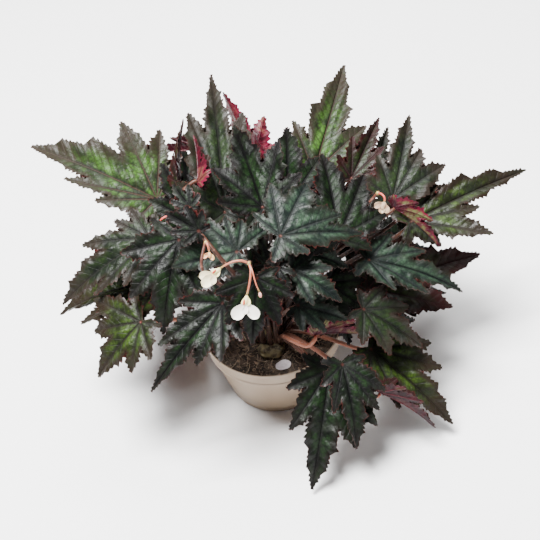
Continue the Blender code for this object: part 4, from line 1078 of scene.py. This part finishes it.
def taper(first, last, count):
    """Radii that run evenly from the first to the last."""
    return [first + (last - first) * index / (count - 1) for index in range(count)]


def find_route(stems, end, down, along, last_radius):
    """The route among the possible ones whose rings the CAD stems show."""
    radii = taper(PETIOLE_RADIUS, last_radius, ROUTE_POINTS)

    def miss(route):
        return sum(abs(stems.find(route[i])[2] - radii[i]) for i in range(2, ROUTE_POINTS))

    return min(stalk_routes(crown_start(end), end, down, along), key=miss), radii


def smooth_route(route, radii):
    """Points, radii and shares of the way close together along a smooth curve through a route's points."""
    points, sizes, shares = [], [], []
    last = len(route) - 1
    for index in range(last):
        before, here = route[max(index - 1, 0)], route[index]
        after, beyond = route[index + 1], route[min(index + 2, last)]
        pull_in = (after - before) * 0.5
        pull_out = (beyond - here) * END_PULLS.get(last - index, 0.5)
        count = max(2, round((after - here).length / STALK_STEP))
        for t in (number / count for number in range(count)):
            points.append(here * (2 * t ** 3 - 3 * t * t + 1) + pull_in * (t ** 3 - 2 * t * t + t)
                          + after * (-2 * t ** 3 + 3 * t * t) + pull_out * (t ** 3 - t * t))
            sizes.append(radii[index] + (radii[index + 1] - radii[index]) * t)
            shares.append((index + t) / last)
    return points + [route[-1]], sizes + [radii[-1]], shares + [1.0]


class Body:
    """A mesh that grows as tubes and lumps are added to it."""

    def __init__(self):
        self.points, self.faces, self.kinds = [], [], []
        self.numbers = {}

    def extend(self, points, faces, kind=0, **numbers):
        base = len(self.points)
        self.points += [tuple(p) for p in points]
        self.faces += [tuple(base + i for i in face) for face in faces]
        self.kinds += [kind] * len(faces)
        for key, value in numbers.items():
            values = value if isinstance(value, list) else [value] * len(points)
            self.numbers.setdefault(key, []).extend(values)

    def link(self, name, materials, *details, **more):
        obj = link_piece(name, self.points, self.faces, self.kinds, materials, *details, **more)
        store(obj, self.numbers, "POINT")


def tube(route, radii, sides, wobble=0.0, rng=None):
    """Points and faces of a closed tube along a route, and the frame of each ring."""
    points, frames = [], []
    last = len(route) - 1
    side = (route[1] - route[0]).normalized().orthogonal().normalized()
    for index, (centre, size) in enumerate(zip(route, radii)):
        ahead = (route[min(index + 1, last)] - route[max(index - 1, 0)]).normalized()
        side = (side - ahead * side.dot(ahead)).normalized()
        across = ahead.cross(side)
        frames.append((centre, side, across, size))
        for corner in range(sides):
            angle = math.tau * corner / sides
            radius = size * (1.0 + (rng.uniform(-wobble, wobble) if wobble else 0.0))
            points.append(centre + (side * math.cos(angle) + across * math.sin(angle)) * radius)
    ends = [tuple(reversed(range(sides))), tuple(range(len(points) - sides, len(points)))]
    return points, bands(len(route), sides) + ends, frames


def add_hairs(body, frames, rng):
    """Short fine hairs that stand off a stalk, slightly bent towards its end."""
    for (centre, side, across, radius), (after, *_) in zip(frames, frames[1:]):
        ahead = after - centre
        for _ in range(max(1, round(ahead.length * HAIRS_PER_MM))):
            angle = rng.uniform(0.0, math.tau)
            off = side * math.cos(angle) + across * math.sin(angle)
            root = centre + ahead * rng.random() + off * radius * HAIR_ROOT
            lean = ahead.normalized() * rng.uniform(*HAIR_LEANS)
            tip = root + (off + lean).normalized() * HAIR_LENGTH * rng.uniform(*HAIR_SIZES)
            wide = off.cross(ahead).normalized() * HAIR_WIDTH * 0.5
            body.extend([root - wide, root + wide, tip], [(0, 1, 2)])


def lump(centre, half_sizes, rings, sides, rough, rng, floor=-math.inf):
    """Points and faces of a rough rounded lump, flat at the floor height where one is given."""
    points, faces = [], []
    seed = Vector((rng.uniform(-50, 50), rng.uniform(-50, 50), rng.uniform(-50, 50)))
    for ring in range(rings + 1):
        lean = math.pi * ring / rings
        for corner in range(1 if ring in (0, rings) else sides):
            way = Vector((*polar(math.tau * corner / sides, math.sin(lean)), math.cos(lean)))
            swell = sum(share * noise.noise(way * fineness + seed) for share, fineness in LUMP_SWELLS)
            place = way * Vector(half_sizes) * (1.0 + rough * (swell - LUMP_SHRINK)) + Vector(centre)
            place.z = max(place.z, floor)
            points.append(place)
    last = len(points) - 1
    for corner in range(sides):
        beyond = (corner + 1) % sides
        faces.append((0, 1 + corner, 1 + beyond))
        faces.append((last, last - sides + beyond, last - sides + corner))
    return points, faces + flipped(bands(rings - 1, sides, 1))


def seated(shape, turn, place):
    """The points of a shape turned and moved to their place, and its faces."""
    points, faces = shape
    return [turn @ point + place for point in points], faces


def link_blade(name, blade, grid, finishes, look, stands_for=()):
    """A piece made from a blade, with its top, underside and edge in their own materials."""
    points, faces, kinds, numbers = blade.mesh(grid)
    materials = [finishes[look], finishes["under_" + UNDER_LOOKS.get(name, "maroon")], finishes["edge"]]
    obj = link_piece(name, points, faces, kinds, materials, "leaf", stands_for, sharp=BLADE_SHARP)
    store(obj, numbers, "CORNER")


def make_leaves(frame, finishes):
    """All the leaf blades, and the routes of their stalks."""
    stems = node_points(frame, "stems")
    grid = LEAF_GRID
    routes = []
    for row in leaf_rows():
        blade = find_blade(frame, row)
        link_blade("leaf_" + row[0] + "_blade", blade, grid, finishes, row[-1], ["leaf_" + row[0]])
        end, down, along = blade.underside()
        route, radii = find_route(stems, end, down, along, PETIOLE_TIP_RADIUS)
        route[-1], radii[-1] = blade.stalk_end(), STALK_END_RADIUS
        # Stalks that join low run out into the light and turn salmon, the others stay dark brown: painted
        # shade
        open_to_light = (end - RIM_CENTRE).dot(RISE) < LOW_JOIN
        routes.append((route, radii, STALK, (0.0, 1.0 if open_to_light else PAINTED_SHADE_STALK)))
    for name, *places in YOUNG_LEAVES:
        blade = Blade("star", *layout_places(*places), YOUNG_FOLD, YOUNG_DROOP, name)
        link_blade("leaf_" + name, blade, grid, finishes, "dark")
        end, down, along = blade.underside()
        route = stalk_routes(crown_start(end), end, down, along)[0][:-1] + [blade.stalk_end()]
        routes.append((route, [YOUNG_STALK_RADIUS] * ROUTE_POINTS, STALK, (0.0, PAINTED_SHADE_STALK)))
    return routes


def flower_frame(points_to):
    """Sideways, lengthwise and outward directions of a flower that points along points_to."""
    length = layout_vector(*points_to).normalized()
    outward = (OUT - length * OUT.dot(length)).normalized()
    return outward.cross(length), length, outward


def flower_routes(frame):
    """Routes of the flower stalks and of their branches."""
    stems = node_points(frame, "stems")
    routes = []
    for place, arrive in FLOWER_STALKS:
        way = layout_vector(*arrive).normalized()
        route, radii = find_route(stems, layout_point(*place), way, ACROSS, FLOWER_STALK_RADIUS)
        routes.append((route, [radius * PEDICEL_FINENESS for radius in radii], PEDICEL, (0.0, 0.26)))
    for start, first, second, name in FLOWER_BRANCHES:
        centre, points_to, _, half_length, _ = FLOWERS[name]
        foot = layout_point(*centre) - flower_frame(points_to)[1] * half_length * 0.9
        curve = [layout_point(*start), layout_point(*first), layout_point(*second), foot]
        fineness = SMALL_BUD_FINENESS if name == "bud_front" else PEDICEL_FINENESS
        radii = taper(FLOWER_STALK_RADIUS * fineness, BRANCH_RADIUS * fineness, len(BRANCH_SHARES))
        kind = CORAL if name in CORAL_BRANCHES else PEDICEL
        routes.append((bezier(curve, BRANCH_SHARES), radii, kind, (0.42, 1.0)))
    return routes


def make_stems(routes, finishes):
    """The rhizome, all stalks and their hairs."""
    rng = random.Random("stems")
    body, hairs = Body(), Body()
    for route, radii, kind, (first, last) in routes:
        points, sizes, shares = smooth_route(route, radii)
        rings, faces, frames = tube(points, sizes, STALK_SIDES, STALK_WOBBLE, rng)
        shares = first + np.array(shares) * (last - first)
        body.extend(rings, faces, kind, share=np.repeat(shares, STALK_SIDES).tolist())
        add_hairs(hairs, frames[2:], rng)
    for place, _ in FLOWER_STALKS:
        body.extend(*lump(layout_point(*place), (FORK_RADIUS,) * 3, 8, 12, 0.1, rng), PEDICEL, share=1.0)
    for x, y, z, *half in RHIZOME_KNOBS:
        knob = lump((x, y, z), half, 44, 60, KNOB_ROUGHNESS, rng, SOIL_TOP + 0.2)
        body.extend(*knob, RHIZOME, share=0.0)
    foot = ROOT_CENTRE + UP * (SOIL_TOP - ROOT_DEPTH + GAP)
    radii = [(ROOT_RADIUS - GAP) * share for _, share in ROOT_BALL]
    points, faces, _ = tube([foot + UP * height for height, _ in ROOT_BALL], radii, ROOT_SIDES)
    body.extend(points, faces, RHIZOME, share=0.0)
    body.link("stems_detail", [finishes[key] for key in STEM_LOOKS], "stem", ["stems"])
    hairs.link("stalk_hairs", [finishes["hair"]], "stem", smooth=False)


def wall_radius(height):
    """Outer radius of the pot's wall below its rim band."""
    top = POT_RIM_RADIUS - BAND_TAPER - BAND_STEP
    return POT_BASE_RADIUS + (top - POT_BASE_RADIUS) * height / BAND_BOTTOM


def turned(profile, sides):
    """Points and faces of a surface turned round the upright axis from (radius, height) points."""
    points = [(*polar(math.tau * corner / sides, radius), height)
              for radius, height in profile for corner in range(sides)]
    return points, flipped(bands(len(profile), sides))


def make_pot(finishes):
    """The thin moulded pot with its rounded rim, rim band and drain holes."""
    profile = [(FLOOR_DISC, POT_FLOOR)]
    profile += [(wall_radius(level) - inset, height) for level, inset, height in INNER_WALL]
    profile += [(POT_RIM_RADIUS - inset, POT_HEIGHT - depth) for inset, depth in LIP]
    profile += [(POT_RIM_RADIUS - BAND_TAPER - inset, BAND_BOTTOM + height) for inset, height in BAND_FOOT]
    profile += [(wall_radius(level) - inset, height) for level, inset, height in OUTER_WALL]
    body = Body()
    body.extend(*turned(profile + [(FLOOR_DISC, 0.0)], POT_SIDES))
    body.extend(*pot_floor())
    body.link("pot_shell", [finishes["pot"]], "pot", ["pot"], sharp=POT_SHARP)


def pot_floor():
    """Both faces of the pot's floor, with the round drain holes through it."""
    turns = [math.tau * (index + 0.5) / DRAIN_HOLES for index in range(DRAIN_HOLES)]
    holes = [Vector(polar(turn, DRAIN_RING)) for turn in turns]
    rings = [(Vector((0.0, 0.0)), FLOOR_DISC, POT_SIDES)]
    rings += [(hole, DRAIN_RADIUS, DRAIN_SIDES) for hole in holes]
    points, loops = [], []
    for centre, radius, sides in rings:
        loop = [len(points) + corner for corner in range(sides)]
        loops.append(list(zip(loop, loop[1:] + loop[:1])))
        points += [centre + Vector(polar(math.tau * corner / sides, radius)) for corner in range(sides)]
    flat, _, faces, *_ = delaunay_2d_cdt(points, sum(loops, []), [list(range(POT_SIDES))], 1, 1e-6)
    kept = []
    for face in faces:
        middle = sum((flat[i] for i in face), Vector((0.0, 0.0))) / 3.0
        if all((middle - hole).length > DRAIN_RADIUS * 0.97 for hole in holes):
            kept.append(face)
    count = len(flat)
    both = [(p.x, p.y, height) for height in (POT_FLOOR, 0.0) for p in flat]
    return both, kept + flipped(kept, count) + [(a, b, b + count, a + count) for a, b in sum(loops[1:], [])]


def soil_height(x, y):
    """Top of the soil: gentle waves and clods, low round the rhizome."""
    wave = sum(share * math.sin(by_x * x + by_y * y + start) for by_x, by_y, start, share in SOIL_WAVES)
    from_root = math.hypot(x - ROOT_CENTRE.x, y - ROOT_CENTRE.y)
    blend = min(1.0, max(0.0, (from_root - CALM_SOIL[0]) / CALM_SOIL[1]))
    clods = sum(height * noise.noise(Vector((x, y, 0.0)) * fineness) for height, fineness in SOIL_CLODS)
    return SOIL_TOP + SOIL_RELIEF * wave * blend + clods


def make_soil(finishes):
    """The bed of potting mix, whose top has clods."""
    body = Body()
    rings = [(radius, 0.0) for radius in np.linspace(SOIL_RADIUS, 1.0, SOIL_RINGS)]
    flat, faces = turned(rings, SOIL_SIDES)
    middle, last = len(flat), len(flat) - SOIL_SIDES
    faces = flipped(faces) + [(last + c, last + (c + 1) % SOIL_SIDES, middle) for c in range(SOIL_SIDES)]
    body.extend([(x, y, soil_height(x, y)) for x, y, _ in flat + [(0.0, 0.0, 0.0)]], faces)
    inner, foot = wall_radius(BAND_BOTTOM) - POT_WALL - GAP, POT_FLOOR + GAP
    side = [(SOIL_RADIUS, SOIL_TOP - 1.0), (inner + 0.8, BAND_BOTTOM + 1.0), (inner, BAND_BOTTOM),
            (wall_radius(2) - POT_WALL - GAP, foot), (0.5, foot)]
    body.extend(*turned(side, SOIL_SIDES))
    body.link("soil_bed", [finishes["soil"]], "soil", ["soil"])


def soil_spot(rng, margin):
    """A random place on the soil, clear of the rhizome and the fallen petal."""
    while True:
        radius = math.sqrt(rng.random()) * (SOIL_RADIUS - margin)
        place = polar(rng.uniform(0.0, math.tau), radius)
        if all(math.dist(place, middle) > room for middle, room in KEPT_CLEAR):
            return place


def make_crumbs(finishes):
    """Crumbs, chips of bark and curved fibres that lie on the soil."""
    rng = random.Random("soil")
    crumbs, chips, fibres = Body(), Body(), Body()
    for _ in range(CRUMBS):
        x, y = soil_spot(rng, CRUMB_ROOM)
        size = rng.uniform(*CRUMB_SIZES)
        half = [size * rng.uniform(0.7, 1.2) for _ in range(3)]
        place = x, y, soil_height(x, y) + size * 0.3
        crumbs.extend(*lump(place, half, 4, 6, 0.35, rng), shade=rng.random())
    for _ in range(CHIPS):
        x, y = soil_spot(rng, CHIP_ROOM)
        half = [rng.uniform(*sizes) for sizes in CHIP_SIZES]
        shape = lump((0, 0, 0), half, 5, 8, 0.3, rng)
        turn = Matrix.Rotation(rng.uniform(0, math.tau), 3, "Z")
        turn = turn @ Matrix.Rotation(rng.uniform(-0.5, 0.5), 3, "X")
        place = Vector((x, y, soil_height(x, y) + half[2] * 0.8))
        chips.extend(*seated(shape, turn, place), shade=rng.random())
    for _ in range(FIBRES):
        add_fibre(fibres, rng)
    crumbs.link("soil_crumbs", [finishes["crumb"]], "soil", smooth=False)
    chips.link("soil_chips", [finishes["chip"]], "soil")
    fibres.link("soil_fibres", [finishes["fibre"]], "soil")


def add_fibre(fibres, rng):
    """A curved fibre on the soil, unless it would leave the pot at once."""
    x, y = soil_spot(rng, FIBRE_ROOM)
    angle, curl = rng.uniform(0, math.tau), rng.uniform(-FIBRE_CURL, FIBRE_CURL)
    length = rng.uniform(*FIBRE_LENGTHS)
    route = []
    for step in range(FIBRE_STEPS + 1):
        lift = 0.4 + 0.9 * math.sin(math.pi * step / FIBRE_STEPS) * rng.random()
        route.append(Vector((x, y, soil_height(x, y) + lift)))
        ahead = polar(angle, length / FIBRE_STEPS)
        x, y = x + ahead[0], y + ahead[1]
        angle += curl
        if math.hypot(x, y) > SOIL_RADIUS - CRUMB_ROOM:
            break
    if len(route) > 3:
        points, faces, _ = tube(route, [rng.uniform(*FIBRE_RADII)] * len(route), 5)
        fibres.extend(points, faces, shade=rng.random())


def petal_half(share, width, oval):
    """Half the width of a petal at a share of its length."""
    if oval:
        return width * 0.5 * math.sqrt(max(0.02, 1.0 - abs(share * 2.0 - 1.0) ** 2.4))
    foot = 0.30 + 0.70 * math.sin(math.pi / 2.0 * min(1.0, share / PETAL_BROADEST)) ** 1.4
    past = max(0.0, (share - PETAL_BROADEST) / (1.0 - PETAL_BROADEST))
    return width * 0.5 * foot * math.sqrt(max(0.02, 1.0 - past ** 2.2))


def petal_surface(root, along, facing, length, width, cup, rows=12, columns=9, wave=0.0, oval=False):
    """A thin cupped petal that grows from its root: two faces joined round the edge."""
    over = facing.cross(along)
    grid = []
    for row in range(rows + 1):
        share = row / rows
        half = petal_half(share, width, oval)
        for column in range(columns + 1):
            side = column / columns * 2.0 - 1.0
            lift = cup * width * (side * side * 0.5 + (share - 0.5) ** 2 * 0.7)
            lift += wave * math.sin(share * 9.0 + side * 2.0) * abs(side)
            grid.append(root + along * (length * share) + over * (half * side) + facing * lift)
    points = [p + facing * PETAL_HALF for p in grid] + [p - facing * PETAL_HALF for p in grid]
    count, wide = len(grid), columns + 1
    corner = rows * wide
    top = [(a, a + wide, a + wide + 1, a + 1) for a in range(corner) if a % wide < columns]
    border = [*range(0, corner, wide), *range(corner, corner + columns)]
    border += [*range(corner + columns, columns, -wide), *range(columns, 0, -1)]
    edge = [(a, a + count, b + count, b) for a, b in zip(border, border[1:] + border[:1])]
    return points, top + flipped(top, count) + edge


def flower_parts(name):
    """An empty body, and a flower's random numbers, turn, middle, half width, half length and petals."""
    centre, points_to, half_width, half_length, petals = FLOWERS[name]
    sideways, length, outward = flower_frame(points_to)
    turn = Matrix((sideways, outward, length)).transposed()
    return Body(), random.Random(name), turn, layout_point(*centre), half_width, half_length, petals


def layout_bearing(degrees):
    """A direction at that bearing from across towards rise."""
    x, y = polar(math.radians(degrees))
    return (ACROSS * x + RISE * y).normalized()


def make_flower(name, finishes):
    """A flower: a winged seed case, rounded white petals and a red mark where they meet."""
    body, rng, turn, centre, half_width, half_length, petals = flower_parts(name)
    sideways, outward, length = turn.col
    sizes = Vector((half_width, half_width, half_length))
    case = lump((0, 0, 0), sizes * Vector((CASE_SHARE, CASE_SHARE, 1.0)), 14, 18, 0.05, rng)
    body.extend(*seated(case, turn, centre), 1)
    for number, width in enumerate(WING_WIDTHS):
        x, y = polar(math.tau * number / len(WING_WIDTHS) + 0.5)
        facing = length.cross(sideways * x + outward * y)
        root = centre - length * half_length * 0.8
        wing = petal_surface(root, length, facing, half_length * 1.7, half_width * width, 0.0, 8, 6)
        body.extend(*wing, 1)
    mark = lump((0, 0, 0), sizes * Vector(MARK_SIZE), 8, 10, 0.1, rng)
    body.extend(*seated(mark, turn, centre + turn @ (sizes * Vector(MARK_PLACE))), 2)
    for number, (bearing, long, wide) in enumerate(petals):
        along = layout_bearing(bearing)
        root = centre + length * half_length * 0.5 + OUT * (-0.6 + 0.9 * number) - along * long * 0.04
        body.extend(*petal_surface(root, along, OUT, long * 1.04, wide, 0.22, wave=0.35))
    materials = [finishes[key] for key in (PETAL_LOOKS[name], "case", "mark")]
    body.link(name + "_bloom", materials, "petal", [name], sharp=PETAL_SHARP)


def make_bud(name, finishes):
    """A bud of two closed petals that meet at a seam, with open petals below where it begins to open."""
    body, rng, turn, centre, half_width, half_length, _ = flower_parts(name)
    length = turn.col[2]
    for number, bearing in enumerate(OPEN_BUDS.get(name, ())):
        root = centre - length * half_length * 0.75 + OUT * (0.5 * number - 0.6)
        long, wide = half_length * OPEN_PETAL_LENGTH, half_width * OPEN_PETAL_WIDTH
        body.extend(*petal_surface(root, layout_bearing(bearing), OUT, long, wide, 0.3, wave=0.4))
    if name in OPEN_BUDS:
        half_width, half_length = half_width * OPEN_BUD_WIDTH, half_length * OPEN_BUD_LENGTH
        centre -= length * half_length * 0.4
    points, faces = lump((0, 0, 0), (half_width, half_width * 0.9, half_length), 18, 24, 0.04, rng)
    for p in points:
        p.y *= 1.0 - 0.10 * math.exp(-(p.x / (half_width * 0.12)) ** 2)
    body.extend(*seated((points, faces), turn, centre))
    body.link(name + "_bud", [finishes[name]], "petal", [name])


def make_fallen_petal(finishes):
    """The petal that lies on the soil, fitted to its CAD solid."""
    low, high = (Vector(corner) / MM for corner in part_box("fallen_petal"))
    along = Vector((*polar(FALLEN_PETAL_BEARING), 0.0))
    middle = (low + high) / 2.0
    root = Vector((middle.x, middle.y, high.z - 0.9)) - along * 7.0
    body = Body()
    body.extend(*petal_surface(root, along, UP, *FALLEN_PETAL_SIZE, 0.10, wave=0.3, oval=True))
    body.link("fallen_petal_detail", [finishes["fallen"]], "petal", ["fallen_petal"], sharp=PETAL_SHARP)


def make_stage(finishes):
    """A pale floor under soft studio light."""
    mesh = bpy.data.meshes.new("floor")
    corners = [(x * FLOOR_HALF, y * FLOOR_HALF, 0) for x, y in ((-1, -1), (1, -1), (1, 1), (-1, 1))]
    mesh.from_pydata(corners, [], [(0, 1, 2, 3)])
    mesh.materials.append(finishes["floor"])
    floor = linked("floor", mesh)
    world = bpy.data.worlds.new("studio")
    bpy.context.scene.world = world
    world.use_nodes = True
    sky = world.node_tree.nodes["Background"].inputs
    sky["Color"].default_value = (1.0, 1.0, 1.0, 1.0)
    sky["Strength"].default_value = SKY_STRENGTH
    for name, place, size, power in LIGHTS:
        lamp = bpy.data.lights.new(name, "AREA")
        lamp.size = size
        lamp.energy = power
        obj = linked(name, lamp)
        obj.location = place
        obj.rotation_mode = "QUATERNION"
        obj.rotation_quaternion = (LIT_POINT - Vector(place)).to_track_quat("-Z", "Y")


def make_camera():
    """A camera that looks down at the plant's front, at the photograph's angle."""
    camera = linked("camera", bpy.data.cameras.new("camera"))
    camera.data.lens = LENS
    camera.data.sensor_width = SENSOR
    camera.data.clip_start = NEAREST
    eye = (layout_point(*VIEW_POINT) + OUT * VIEW_DISTANCE) * MM
    turn = Matrix((ACROSS, RISE, OUT)).transposed()
    camera.matrix_world = Matrix.Translation(eye) @ turn.to_4x4()
    bpy.context.scene.camera = camera


def main():
    """Builds every piece in place of the CAD nodes."""
    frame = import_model()
    make_camera()
    finishes = make_finishes()
    make_stage(finishes)
    make_pot(finishes)
    make_soil(finishes)
    make_crumbs(finishes)
    routes = make_leaves(frame, finishes)
    make_stems(routes + flower_routes(frame), finishes)
    for name in FLOWERS:
        if name in PETAL_LOOKS:
            make_flower(name, finishes)
        else:
            make_bud(name, finishes)
    make_fallen_petal(finishes)


main()
